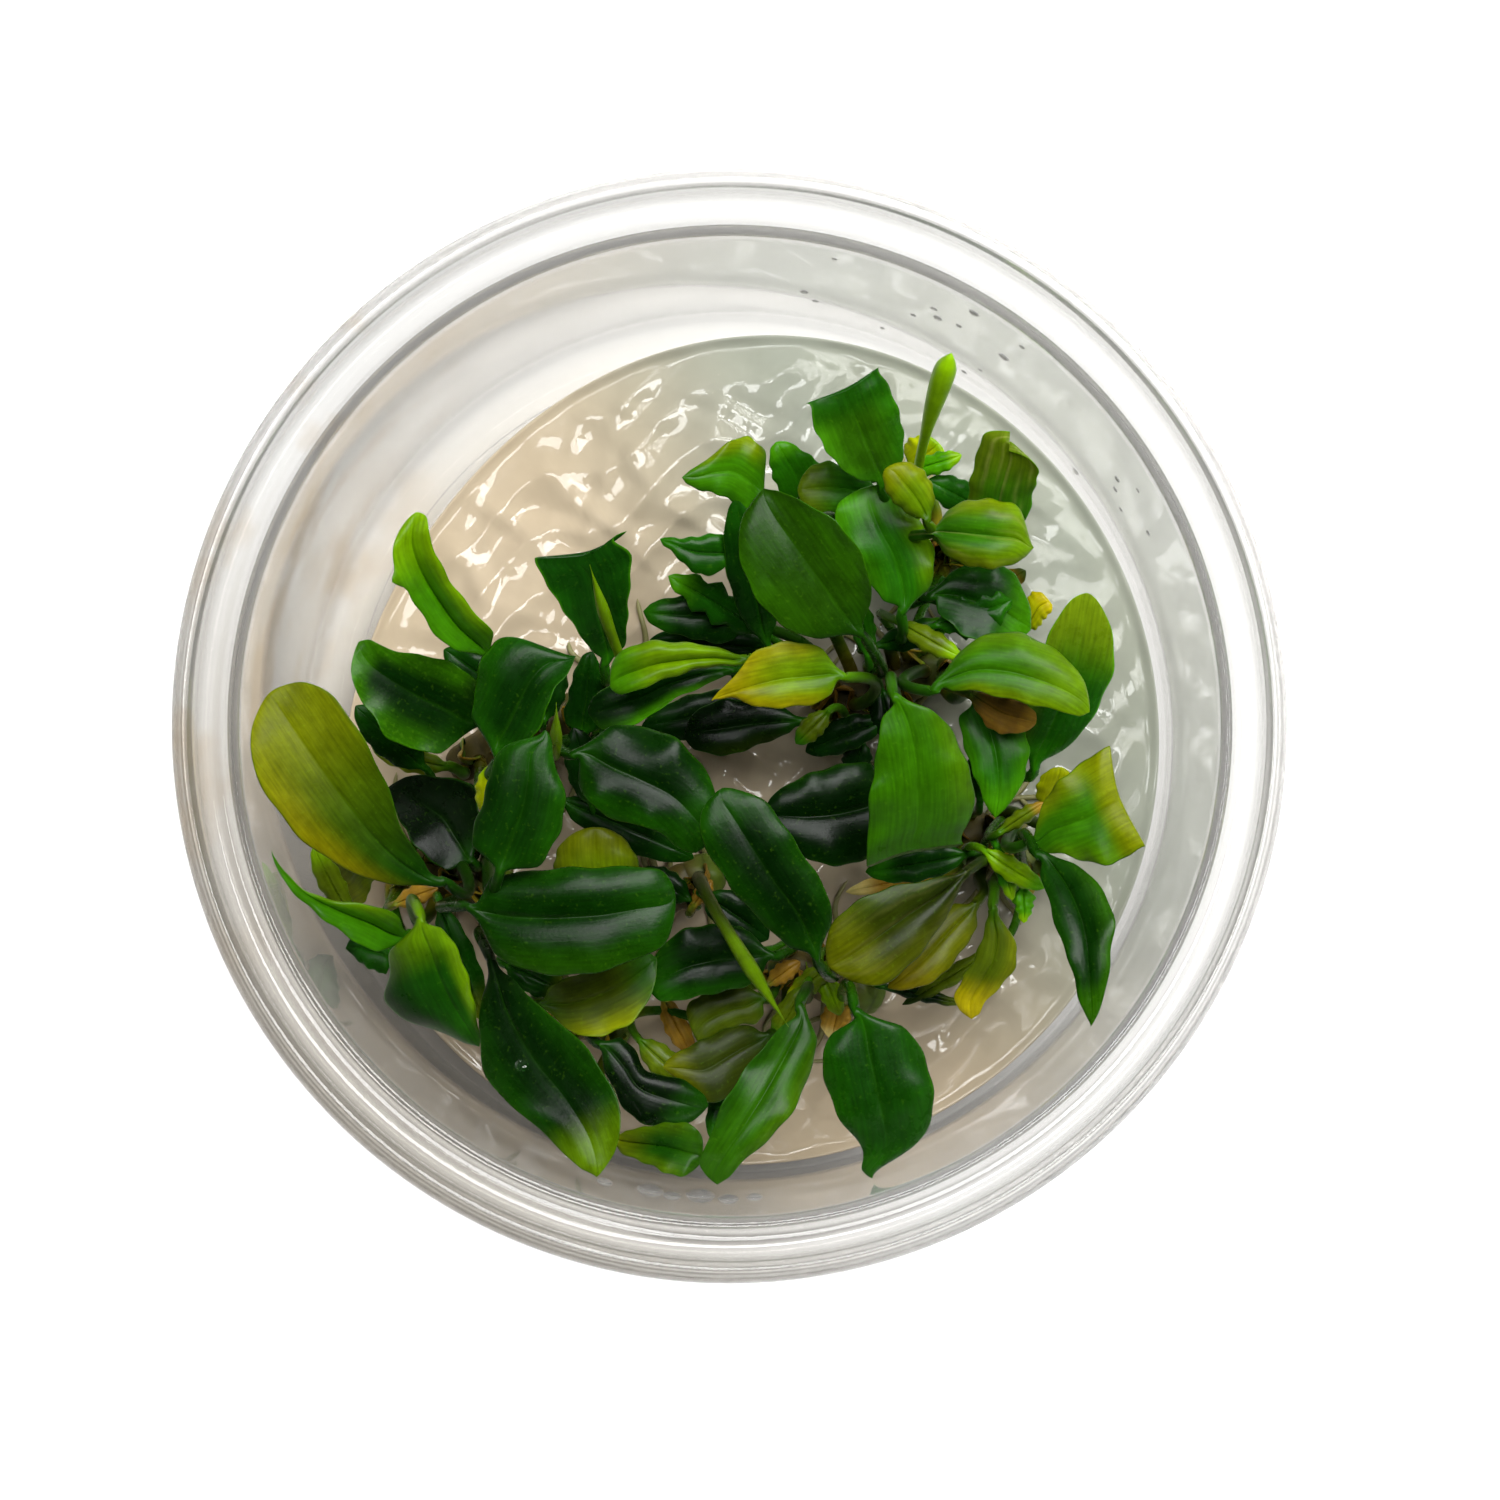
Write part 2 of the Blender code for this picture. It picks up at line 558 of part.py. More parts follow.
def north_plantlet():
    plant = Rhizome("north_rhizome", (8, 2), (22, 7.5), 0.5)
    leaf("north_leaf_1", plant, (-1.5, 15), (11.2, 9.0, 41), (2.6, 21.4, 44), 11.0, "leaf_dark")
    leaf("north_leaf_2", plant, (1.0, 45), (14.8, 11.4, 33.6), (11.6, 22.1, 35), 9.3, "leaf_green")
    leaf("north_leaf_3", plant, (-4.0, -10), (9.8, 4.9, 38), (-1.8, 2.4, 39), 6.4, "leaf_gold",
         widest=0.4, point=1.3)
    leaf("north_leaf_4", plant, (-6.0, 20), (1.3, 6.6, 35), (-10.9, 4.0, 36), 8.0, "leaf_gold", fold=50)
    leaf("north_leaf_5", plant, (-7.2, 55), (0.3, 5.6, 29), (-13.1, 2.2, 29), 8.0, "leaf_dark")
    leaf("north_leaf_6", plant, (-7.0, -30), (5.8, 2.0, 19), (-4.6, 0.1, 19), 7.2, "leaf_dark")
    leaf("north_leaf_7", plant, (-2.0, -60), (13.7, -5.6, 25), (2.8, -8.9, 27), 9.0, "leaf_dark")
    leaf("north_leaf_8", plant, (-0.6, -30), (16.0, 3.0, 41), (15.2, -12.2, 34), 10.0, "leaf_green",
         sway=20, drop=35, widest=0.6)
    leaf("north_leaf_9", plant, (4.6, -60), (22.8, 3.2, 28), (25.2, -7.9, 28), 7.0, "leaf_green")
    leaf("north_leaf_10", plant, (3.4, 0), (19.8, 3.8, 37), (33.2, 1.6, 37), 7.4, "leaf_gold", sway=38)
    leaf("north_leaf_11", plant, (5.2, -15), (22.4, 3.6, 32.5), (28.6, 0.6, 31), 3.8, "leaf_dead")
    leaf("north_leaf_12", plant, (7.2, -20), (28.4, -2.0, 24), (34.0, 12.2, 35), 8.2, "leaf_dark")
    leaf("north_leaf_13", plant, (-3.0, 60), (0.3, 16.4, 30), (-6.5, 17.2, 31), 5.0, "leaf_dark")
    leaf("north_leaf_14", plant, (-5.0, 65), (1.2, 8.8, 24), (-8.2, 11.5, 25), 6.5, "leaf_dark")
    return plant


def northeast_plantlet():
    plant = Rhizome("northeast_rhizome", (13, 18.5), (23.5, 17.5), 0.3)
    leaf("northeast_leaf_1", plant, (-3.4, 30), (13.4, 22.8, 37), (9.6, 31.6, 42), 8.8, "leaf_dark",
         widest=0.65, drop=60)
    leaf("northeast_leaf_2", plant, (2.0, 20), (17.8, 19.8, 39.5), (14.6, 24.0, 41), 4.6, "leaf_gold",
         point=0.6)
    leaf("northeast_leaf_3", plant, (-5.0, -45), (2.4, 20.8, 32), (-4.2, 22.9, 35), 7.0, "leaf_green",
         sway=-30)
    leaf("northeast_leaf_4", plant, (-4.3, -5), (11.8, 19.8, 32), (7.2, 25.0, 33), 6.2, "leaf_olive")
    leaf("northeast_leaf_5", plant, (3.5, 45), (23.8, 21.0, 30), (26.8, 28.0, 39), 6.8, "leaf_olive")
    leaf("northeast_leaf_6", plant, (0.0, -35), (19.9, 17.0, 38), (27.8, 16.9, 38), 6.8, "leaf_gold",
         point=0.55, drop=40)
    leaf("northeast_leaf_7", plant, (2.0, -45), (20.3, 12.2, 30), (28.4, 12.2, 29), 6.4, "leaf_dark")
    spear("northeast_leaf_8", plant, -1.4, (16.3, 24.1, 36), (20.0, 33.5, 46), 0.8, blunt=0.6,
          own_node=True, turn=62)
    leaf("northeast_small_leaf_1", plant, (0.8, 80), (19.7, 23.6, 27), (19.2, 27.4, 29), 3.6, "leaf_gold",
         grown=True)
    leaf("northeast_small_leaf_2", plant, (-4.6, 60), (6.3, 21.8, 29), (5.4, 27.0, 31), 4.5, "leaf_dark",
         grown=True)
    leaf("northeast_small_leaf_3", plant, (4.5, -50), (26.0, 10.5, 22), (29.9, 13.3, 23), 3.5, "leaf_gold",
         grown=True)
    return plant


clear_scene()
PARTS = make_collection("tissue_culture_anubias")
HELPERS = make_collection("helpers")
make_cup(PARTS)
make_gel(PARTS)
PLANTLETS = (
    west_plantlet,
    northwest_plantlet,
    centre_plantlet,
    southwest_plantlet,
    south_plantlet,
    east_plantlet,
    north_plantlet,
    northeast_plantlet,
)
for grow in PLANTLETS:
    plant = grow()
    root(plant, -0.25, 105, 5.0)
    root(plant, 0.2, -105, 5.5)
    plant.make()
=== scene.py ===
import json
import re

import bpy
import numpy as np
from mathutils import Matrix, Vector


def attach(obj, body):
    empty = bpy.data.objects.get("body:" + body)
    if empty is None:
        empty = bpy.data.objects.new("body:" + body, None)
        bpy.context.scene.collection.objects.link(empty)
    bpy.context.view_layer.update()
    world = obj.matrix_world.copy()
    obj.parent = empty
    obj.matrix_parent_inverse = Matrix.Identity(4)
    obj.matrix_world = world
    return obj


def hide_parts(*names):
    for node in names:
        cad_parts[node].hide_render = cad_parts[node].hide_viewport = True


# Golden anubias nana plantlets on culture gel in a clear cup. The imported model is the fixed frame,
# and each solid gets a finer surface in its own place.
# Lengths are in millimetres and angles in degrees until a mesh is made; mm turns them into metres.

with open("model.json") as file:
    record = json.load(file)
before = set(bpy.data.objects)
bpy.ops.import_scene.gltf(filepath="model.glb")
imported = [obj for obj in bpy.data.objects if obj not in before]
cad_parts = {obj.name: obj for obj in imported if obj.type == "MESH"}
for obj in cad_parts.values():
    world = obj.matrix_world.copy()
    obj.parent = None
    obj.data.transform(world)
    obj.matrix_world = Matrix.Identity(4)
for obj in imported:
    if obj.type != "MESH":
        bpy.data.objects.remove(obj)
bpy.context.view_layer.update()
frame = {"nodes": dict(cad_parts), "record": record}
slotOf = {part["node"]: part["material_slot"] for part in frame["record"]["subparts"]}
mm = 0.001
up = np.array([0.0, 0.0, 1.0])
print("frame loaded:", len(frame["nodes"]), "solids")


def unit(vectors):
    # Each vector over its own length.
    return vectors / np.linalg.norm(vectors, axis=-1, keepdims=True)


def smooth(low, high, values):
    # 0 below low, 1 above high, and 3t^2 - 2t^3 between them.
    t = np.clip((np.asarray(values, float) - low) / (high - low), 0, 1)
    return t * t * (3 - 2 * t)


def around(sides):
    # Angles that share a full turn.
    return np.linspace(0, 2 * np.pi, sides, endpoint=False)


def curveAt(ends, shares):
    # Cubic curve over four points: weights (1-s)^3, 3(1-s)^2 s, 3(1-s)s^2 and s^3, with its direction.
    s = np.asarray(shares, float)[:, None]
    first, second, third, last = (np.asarray(end, float) for end in ends)
    places = first * (1 - s) ** 3 + 3 * second * (1 - s) ** 2 * s + 3 * third * (1 - s) * s**2 + last * s**3
    slopes = (second - first) * (1 - s) ** 2 + 2 * (third - second) * (1 - s) * s + (last - third) * s**2
    return places, unit(slopes)


def skin(grid, tint, place):
    # A closed skin over rings of points: quads from ring to ring and a fan of triangles over each end.
    # The volume under the faces, the sum of a . (b x c) / 6, tells whether they point outwards.
    rows, sides = grid.shape[:2]
    low = np.arange(rows * sides).reshape(rows, sides)
    after = np.roll(low, -1, axis=1)
    quads = np.stack([low[:-1], after[:-1], after[1:], low[1:]], axis=-1).reshape(-1, 4)
    firstHub, lastHub = rows * sides, rows * sides + 1
    opening = np.stack([after[0], low[0], np.full(sides, firstHub)], axis=-1)
    closing = np.stack([low[-1], after[-1], np.full(sides, lastHub)], axis=-1)
    triangles = np.concatenate([opening, closing])

    def withHubs(values):
        flat = values.reshape(rows * sides, -1)
        return np.concatenate([flat, values[:1].mean(1), values[-1:].mean(1)])

    points = withHubs(grid)
    halves = np.concatenate([quads[:, [0, 1, 2]], quads[:, [0, 2, 3]], triangles])
    a, b, c = (points[halves[:, corner]] for corner in range(3))
    if np.einsum("ij,ij->", a, np.cross(b, c)) < 0:
        quads, triangles = quads[:, ::-1], triangles[:, ::-1]
    return dict(points=points, quads=quads, triangles=triangles, tint=withHubs(tint), place=withHubs(place))


def tubeSkin(path, radii, tint, sides):
    # Round rings about a path: centre + radius * (across * cos a + over * sin a),
    # where across is level and square to the path and over is square to both.
    path = np.asarray(path, float)
    ahead = unit(np.gradient(path, axis=0))
    level = np.cross(up, ahead) + np.array([1e-4, 0.0, 0.0])
    across = unit(level - ahead * np.sum(level * ahead, axis=1, keepdims=True))
    over = np.cross(ahead, across)
    angle = around(sides)
    reach = np.broadcast_to(np.asarray(radii, float).reshape(len(path), -1), (len(path), sides))[..., None]
    ring = across[:, None] * np.cos(angle)[:, None] + over[:, None] * np.sin(angle)[:, None]
    grid = path[:, None] + reach * ring
    tints = np.broadcast_to(np.asarray(tint, float).reshape(-1, 1, 3), (len(path), sides, 3))
    along = np.linspace(0, 1, len(path))[:, None] * np.ones(sides)
    place = np.stack([along, np.cos(angle) * np.ones_like(along), np.zeros_like(along)], axis=-1)
    return skin(grid, tints, place)


def addPiece(name, skins, material, nodes=()):
    # Joins skins into one mesh in metres, which rides on the root and stands for its CAD nodes.
    def joined(key):
        return np.concatenate([one[key] for one in skins])

    starts = np.cumsum([0] + [len(one["points"]) for one in skins])
    points = joined("points") * mm
    quads = np.concatenate([one["quads"] + start for one, start in zip(skins, starts)])
    triangles = np.concatenate([one["triangles"] + start for one, start in zip(skins, starts)])
    corners = np.concatenate([quads.ravel(), triangles.ravel()])
    faceStarts = np.concatenate([np.arange(len(quads)) * 4, len(quads) * 4 + np.arange(len(triangles)) * 3])
    mesh = bpy.data.meshes.new(name)
    mesh.vertices.add(len(points))
    mesh.vertices.foreach_set("co", points.astype(np.float32).ravel())
    mesh.loops.add(len(corners))
    mesh.loops.foreach_set("vertex_index", corners.astype(np.int32))
    mesh.polygons.add(len(faceStarts))
    mesh.polygons.foreach_set("loop_start", faceStarts.astype(np.int32))
    mesh.update(calc_edges=True)
    mesh.shade_smooth()
    tint = joined("tint")
    colours = mesh.attributes.new("tint", "FLOAT_COLOR", "POINT")
    colours.data.foreach_set("color", np.c_[tint, np.ones(len(tint))].astype(np.float32).ravel())
    places = mesh.attributes.new("place", "FLOAT_VECTOR", "POINT")
    places.data.foreach_set("vector", joined("place").astype(np.float32).ravel())
    mesh.materials.append(material)
    piece = bpy.data.objects.new(name, mesh)
    bpy.context.scene.collection.objects.link(piece)
    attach(piece, "root")
    if nodes:
        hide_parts(*nodes)
    return piece


def newMaterial(name, settings):
    # A Principled material with plain values on its sockets.
    material = bpy.data.materials.new(name)
    material.use_nodes = True
    shader = material.node_tree.nodes["Principled BSDF"]
    for socket, value in settings.items():
        shader.inputs[socket].default_value = value
    return material, material.node_tree, shader


def addNode(tree, kind, settings=(), links=()):
    # One shader node with its properties or socket values set and its inputs joined.
    node = tree.nodes.new(kind)
    for key, value in dict(settings).items():
        if isinstance(key, str) and hasattr(node, key):
            setattr(node, key, value)
        else:
            node.inputs[key].default_value = value
    for key, source in dict(links).items():
        tree.links.new(source, node.inputs[key])
    return node


def ownPlace(tree):
    # The place on the piece, in metres.
    return addNode(tree, "ShaderNodeTexCoord").outputs["Object"]


def ownAttribute(tree, name, output):
    # What the mesh carries at each point: its tint, or its place along and across a blade.
    return addNode(tree, "ShaderNodeAttribute", {"attribute_name": name}).outputs[output]


def feed(node, index, source):
    # A socket is linked in, and a plain value is set.
    if hasattr(source, "is_output"):
        node.id_data.links.new(source, node.inputs[index])
    else:
        node.inputs[index].default_value = source


def mixColours(tree, blend, share, first, second):
    # A colour mix whose share and colours are sockets or plain values.
    node = addNode(tree, "ShaderNodeMix", {"data_type": "RGBA", "blend_type": blend})
    feed(node, 0, share)
    for index, source in ((6, first), (7, second)):
        feed(node, index, source if hasattr(source, "is_output") else (*source, 1.0))
    return node.outputs[2]


def mathNode(tree, operation, *sources):
    # A Math node over sockets or plain numbers.
    node = addNode(tree, "ShaderNodeMath", {"operation": operation})
    for index, source in enumerate(sources):
        feed(node, index, source)
    return node.outputs[0]


def ramp(tree, value, low, high, first=0.0, last=1.0, kind="LINEAR"):
    # Values from low to high become first to last, and stay within them.
    return addNode(tree, "ShaderNodeMapRange", {
        "interpolation_type": kind, "From Min": low, "From Max": high, "To Min": first, "To Max": last,
    }, {"Value": value}).outputs[0]


def reachAlong(tree, where, way):
    # The dot product of a place and a direction.
    return addNode(
        tree, "ShaderNodeVectorMath", {"operation": "DOT_PRODUCT", 1: way}, {0: where}).outputs["Value"]


def noise(tree, where, cells, detail, roughness=0.5):
    # Cloudy noise with so many cells to each unit of the place.
    settings = {"Scale": cells, "Detail": detail, "Roughness": roughness}
    return addNode(tree, "ShaderNodeTexNoise", settings, {"Vector": where}).outputs["Fac"]


def bump(tree, height, strength, distance):
    # Distance is in millimetres.
    settings = {"Strength": strength, "Distance": distance * mm}
    return addNode(tree, "ShaderNodeBump", settings, {"Height": height}).outputs[0]


cup = dict(
    rim=50.0, height=50.0, lipThickness=0.8, lipDrop=5.4, lipTop=1.6, seat=47.5, seatHeight=46.6,
    mouth=44.1, mouthHeight=44.8, ledgeHeight=45.6, wall=0.9, heel=41.3, heelHeight=5.0, inset=0.1,
    foot=39.2, footWidth=1.6, floor=37.2, floorHeight=1.8, floorThickness=1.0, middle=0.02,
    around=450, softened=3,
)
# film is painted shade: the colour the plastic darkens to toward the lower left.
plasticLook = dict(
    ior=1.45, transmission=0.82, milk=(0.67, 0.665, 0.65), waveCells=60, waveStrength=0.02, waveDepth=0.25,
    hazeCells=160, haze=(0.02, 0.08), blotCells=85, blots=(0.5, 0.64), smearWay=(-0.96, 0.28, 0),
    smearFrom=(0.033, 0.041), smearShare=0.7, smear=(0.52, 0.43, 0.32), paintedShadeWay=(-0.74, -0.67, 0),
    paintedShadeFrom=(0.015, 0.05), paintedShadeShare=0.75, film=(0.36, 0.33, 0.28),
    inside=(0.75, 0.73, 0.67, 1), density=70.0,
)


def cutCorners(profile, times):
    # Each pass swaps a corner for a point on each of its edges, a quarter along but at most 0.6 mm from it.
    for _ in range(times):
        step = profile[1:] - profile[:-1]
        length = np.linalg.norm(step, axis=1, keepdims=True)
        cut = np.minimum(0.25, 0.6 / np.maximum(length, 1e-6))
        pairs = np.stack([profile[:-1] + step * cut, profile[1:] - step * cut], axis=1).reshape(-1, 2)
        profile = np.concatenate([profile[:1], pairs[1:-1], profile[-1:]])
    return profile


def turned(profile, sides):
    # A profile of (radius, height) carried round the axis: (r cos a, r sin a, z).
    angle = around(sides)
    radius, height = profile[:, 0, None], profile[:, 1, None]
    return np.stack([radius * np.cos(angle), radius * np.sin(angle), height + 0 * angle], axis=-1)


def cupProfile(c):
    # Points of (radius, height) from the middle of the floor up the inside, over the ledge, seat and lip,
    # down the outside and back under the foot. Small offsets give each step its width and slope.
    heelIn, mouthOut, heelOut = c["heel"] - c["inset"], c["mouth"] + c["wall"], c["heel"] + c["wall"]
    top, lipIn, footIn = c["height"], c["rim"] - c["lipThickness"], c["foot"] - c["footWidth"]
    under = c["floorHeight"] - c["floorThickness"]
    inside = [(c["middle"], c["floorHeight"]), (c["floor"], c["floorHeight"]),
              (heelIn - 0.6, c["heelHeight"] - 2.4), (heelIn, c["heelHeight"]),
              (c["mouth"], c["mouthHeight"])]
    steps = [(c["mouth"] + 0.35, c["ledgeHeight"]), (c["mouth"] + 1.15, c["ledgeHeight"]),
             (c["mouth"] + 1.4, c["seatHeight"]), (c["seat"], c["seatHeight"])]
    lip = [(c["seat"] + 0.3, top - 0.7), (c["seat"] + 0.9, top), (c["rim"] - 0.6, top - 0.1),
           (c["rim"], top - 1.0), (c["rim"], top - c["lipDrop"]), (lipIn, top - c["lipDrop"]),
           (lipIn, top - c["lipTop"]), (c["seat"] + 1.1, top - c["lipTop"])]
    outside = [(c["seat"] + 0.8, c["seatHeight"] - 0.9), (mouthOut + 0.9, c["seatHeight"] - 1.1),
               (mouthOut, c["mouthHeight"] - 0.9), (heelOut, c["heelHeight"] - 1.0),
               (heelOut - 0.7, c["heelHeight"] - 3.6)]
    foot = [(c["foot"], 0), (footIn, 0), (footIn - 0.9, under), (c["middle"], under)]
    return np.array(inside + steps + lip + outside + foot)


def plasticMaterial(look):
    # Clear moulded plastic: plain transmission with a milky haze and a shallow ripple, brown smears of dried
    # gel where cloudy noise is high at the left, and painted shade, the film colour, that darkens it to the
    # lower left.
    settings = {"IOR": look["ior"], "Transmission Weight": look["transmission"]}
    material, tree, shader = newMaterial("clearPlastic", settings)
    where = ownPlace(tree)
    waves = noise(tree, where, look["waveCells"], 1)
    feed(shader, "Normal", bump(tree, waves, look["waveStrength"], look["waveDepth"]))
    haze = ramp(tree, noise(tree, where, look["hazeCells"], 1), 0.3, 0.7, *look["haze"])
    feed(shader, "Roughness", haze)
    blots = ramp(tree, noise(tree, where, look["blotCells"], 3, 0.6), *look["blots"])
    side = ramp(tree, reachAlong(tree, where, look["smearWay"]), *look["smearFrom"])
    smear = mathNode(tree, "MULTIPLY", mathNode(tree, "MULTIPLY", blots, side), look["smearShare"])
    smeared = mixColours(tree, "MIX", smear, look["milk"], look["smear"])
    # Painted shade: toward the lower left the plastic's colour darkens to the film tint.
    film = ramp(tree, reachAlong(tree, where, look["paintedShadeWay"]), *look["paintedShadeFrom"], 0.0, look["paintedShadeShare"])
    feed(shader, "Base Color", mixColours(tree, "MIX", film, smeared, look["film"]))
    depth = {"Color": look["inside"], "Density": look["density"]}
    inside = addNode(tree, "ShaderNodeVolumeAbsorption", depth).outputs[0]
    feed(tree.nodes["Material Output"], "Volume", inside)
    return material


cupGrid = turned(cutCorners(cupProfile(cup), cup["softened"]), cup["around"])
cupSkin = skin(cupGrid, cupGrid * 0 + 0.9, cupGrid * 0)
cupPiece = addPiece("cupBody", [cupSkin], plasticMaterial(plasticLook), ["cup"])
cupPiece.visible_shadow = False  # clear plastic lets the lamps through
print("cup made:", len(cupPiece.data.polygons), "faces")


gel = dict(
    depth=9.0, edgeDepth=7.0, radius=40.6, baseRadius=36.6, pull=5.0, pullHeading=145.0, pullSpread=55,
    lump=0.5, base=2.1, around=300, rings=150,
)
ripple = dict(
    broad=0.62, short=0.52, fine=0.20, grain=0.05, sink=0.6, bed=1.7, bedReach=2.4, lip=0.7, lipReach=0.018,
)
gelLook = dict(
    roughness=0.05, ior=1.45, transmission=0.1, warm=(0.55, 0.455, 0.33), clear=(0.31, 0.33, 0.28),
    clearWay=(0.75, 0.5), clearFrom=(-4, 22), cloudCells=90, cloud=(0.8, 0.78, 0.72), grainCells=330,
    grainStrength=0.3, grainDepth=0.2,
)


def gelRadius(heading):
    # The full radius less a bell-shaped pull, exp(-(a / spread)^2), about the side that drew back.
    away = (heading - gel["pullHeading"] + 180) % 360 - 180
    return gel["radius"] - gel["pull"] * np.exp(-((away / gel["pullSpread"]) ** 2))


def gelShare(x, y):
    # How far out a place is, of the gel's own radius there.
    return np.minimum(1.0, np.hypot(x, y) / gelRadius(np.degrees(np.arctan2(y, x))))


def gelTop(x, y):
    # A flat dome, 1 - share^4, with two crossing waves on it.
    share = gelShare(x, y)
    lumps = np.sin(x / 3.9 + 0.7) * np.sin(y / 4.6 - 0.4) + 0.5 * np.sin((x - y) / 2.9)
    dome = gel["edgeDepth"] + (gel["depth"] - gel["edgeDepth"]) * (1 - share**4)
    return dome + gel["lump"] * lumps * (1 - share**6)


rhizomes = dict(
    west=dict(start=(-33, -11.5), end=(-20, -14.5), bow=-0.8),
    northwest=dict(start=(-27, -3), end=(-8, 4.5), bow=0.8),
    centre=dict(start=(-9, -16), end=(-1, -12.5), bow=0.3),
    southwest=dict(start=(-18, -24.5), end=(-10, -28.5), bow=0.3),
    south=dict(start=(3, -21), end=(14, -25), bow=0.4),
    east=dict(start=(20, -8), end=(29.5, -13), bow=0.4),
    north=dict(start=(8, 2), end=(22, 7.5), bow=0.5),
    northeast=dict(start=(13, 18.5), end=(23.5, 17.5), bow=0.3),
)
stem = dict(
    radius=2.1, gap=0.4, sides=40, rows=90, scar=0.9, old=(0.10, 0.08, 0.014), young=(0.10, 0.18, 0.008),
)


def stemLength(r):
    # The straight distance between the two ends.
    return np.linalg.norm(np.subtract(r["end"], r["start"]))


def planPath(r, shares):
    # The straight line between the ends, bowed sideways by 4 s (1 - s), and its left.
    start, end = np.array([*r["start"], 0.0]), np.array([*r["end"], 0.0])
    along = unit(end - start)
    left = np.array([-along[1], along[0], 0.0])
    s = np.atleast_1d(np.asarray(shares, float))[:, None]
    return start * (1 - s) + end * s + left * r["bow"] * 4 * s * (1 - s), left


def bedHeight(r, shares):
    # The highest gel under three points of the cross-section.
    path, left = planPath(r, shares)
    spots = [path + left * side * stem["radius"] for side in (-0.7, 0, 0.7)]
    return np.max([gelTop(spot[:, 0], spot[:, 1]) for spot in spots], axis=0)


def stemPath(r, shares):
    # A straight slope between the beds of the two ends, lifted clear of the gel by the radius and a gap.
    shares = np.atleast_1d(np.asarray(shares, float))
    path, left = planPath(r, shares)
    low, high = bedHeight(r, [0.0, 1.0])
    marks = np.arange(9) / 8
    lift = np.max(bedHeight(r, marks) - (low + (high - low) * marks))
    path[:, 2] = low + (high - low) * shares + lift + stem["radius"] + stem["gap"]
    return path, left


def footOn(r, place, turn, depth):
    # A point of the stem, place from its middle, with the direction out of it: cos(turn) up, sin(turn) left.
    path, left = stemPath(r, 0.5 + place / stemLength(r))
    outward = up * np.cos(np.radians(turn)) + left * np.sin(np.radians(turn))
    return path[0] + outward * (stem["radius"] + depth), outward


def ripples(x, y):
    # Crumbled agar: two creased waves, 1 - |sin|, 7 and 5 mm long, and two products of sines, 5 and 2.5 mm.
    creased = ripple["broad"] * (1 - np.abs(np.sin(0.36 * x + 0.22 * y + 0.8 * np.sin(0.3 * y))))
    creased += ripple["short"] * (1 - np.abs(np.sin(0.55 * y - 0.31 * x + 0.9 * np.sin(0.41 * x))))
    fine = ripple["fine"] * np.sin(1.15 * x + 0.5 * y + 1.3 * np.sin(0.5 * x))
    fine = fine * np.sin(1.0 * y - 0.35 * x + 1.1 * np.sin(0.6 * y))
    return creased + fine + ripple["grain"] * np.sin(2.3 * x + 1.1 * y) * np.sin(2.0 * y - 0.9 * x)


def gelSurface(x, y):
    # The dome with ripples, a bed that rises about each stem by exp(-(d / reach)^2) of the distance d from
    # it, and a lip that rises by the same bell at the gel's edge.
    share = gelShare(x, y)
    height = gelTop(x, y) + ripples(x, y) * (1 - share**10) - ripple["sink"]
    for r in rhizomes.values():
        start, end = np.array(r["start"]), np.array(r["end"])
        line = end - start
        along = np.clip(((x - start[0]) * line[0] + (y - start[1]) * line[1]) / (line @ line), 0, 1)
        apart = np.hypot(x - start[0] - along * line[0], y - start[1] - along * line[1])
        height = height + ripple["bed"] * np.exp(-((apart / ripple["bedReach"]) ** 2))
    return height + ripple["lip"] * np.exp(-(((1 - share) / ripple["lipReach"]) ** 2))


def gelSkin():
    # Rings up the outside, over a rounded edge and in across the top, each at a share of the gel's radius.
    angle = around(gel["around"])
    radius = gelRadius(np.degrees(angle))
    sideShares = [gel["baseRadius"] / gel["radius"], 0.965, 1.0, 1.0]
    sideHeights = [gel["base"], gel["base"] + 1.2, gel["base"] + 3.4, gel["edgeDepth"] - 0.6]
    topShares = 1 - np.linspace(0.004, 0.998, gel["rings"]) ** 1.15
    rings = []
    for share, height in zip(sideShares, sideHeights):
        x, y = share * radius * np.cos(angle), share * radius * np.sin(angle)
        rings.append(np.c_[x, y, height + 0 * angle])
    for share in topShares:
        x, y = share * radius * np.cos(angle), share * radius * np.sin(angle)
        rings.append(np.c_[x, y, gelSurface(x, y)])
    grid = np.array(rings)
    reach = gelLook["clearWay"][0] * grid[..., 0] + gelLook["clearWay"][1] * grid[..., 1]
    clear = smooth(*gelLook["clearFrom"], reach)[..., None]
    return skin(grid, np.array(gelLook["warm"]) * (1 - clear) + np.array(gelLook["clear"]) * clear, grid * 0)


def gelMaterial(look):
    # Wet agar: milky and beige, a little see-through, cloudy and finely grained under a wet gloss.
    material, tree, shader = newMaterial("cultureGel", {
        "Roughness": look["roughness"], "IOR": look["ior"], "Transmission Weight": look["transmission"],
    })
    where = ownPlace(tree)
    cloud = noise(tree, where, look["cloudCells"], 4)
    shade = mixColours(tree, "MULTIPLY", cloud, ownAttribute(tree, "tint", "Color"), look["cloud"])
    feed(shader, "Base Color", shade)
    grain = noise(tree, where, look["grainCells"], 2)
    feed(shader, "Normal", bump(tree, grain, look["grainStrength"], look["grainDepth"]))
    return material


gelPiece = addPiece("agarGel", [gelSkin()], gelMaterial(gelLook), ["gel"])
print("gel made:", len(gelPiece.data.polygons), "faces")


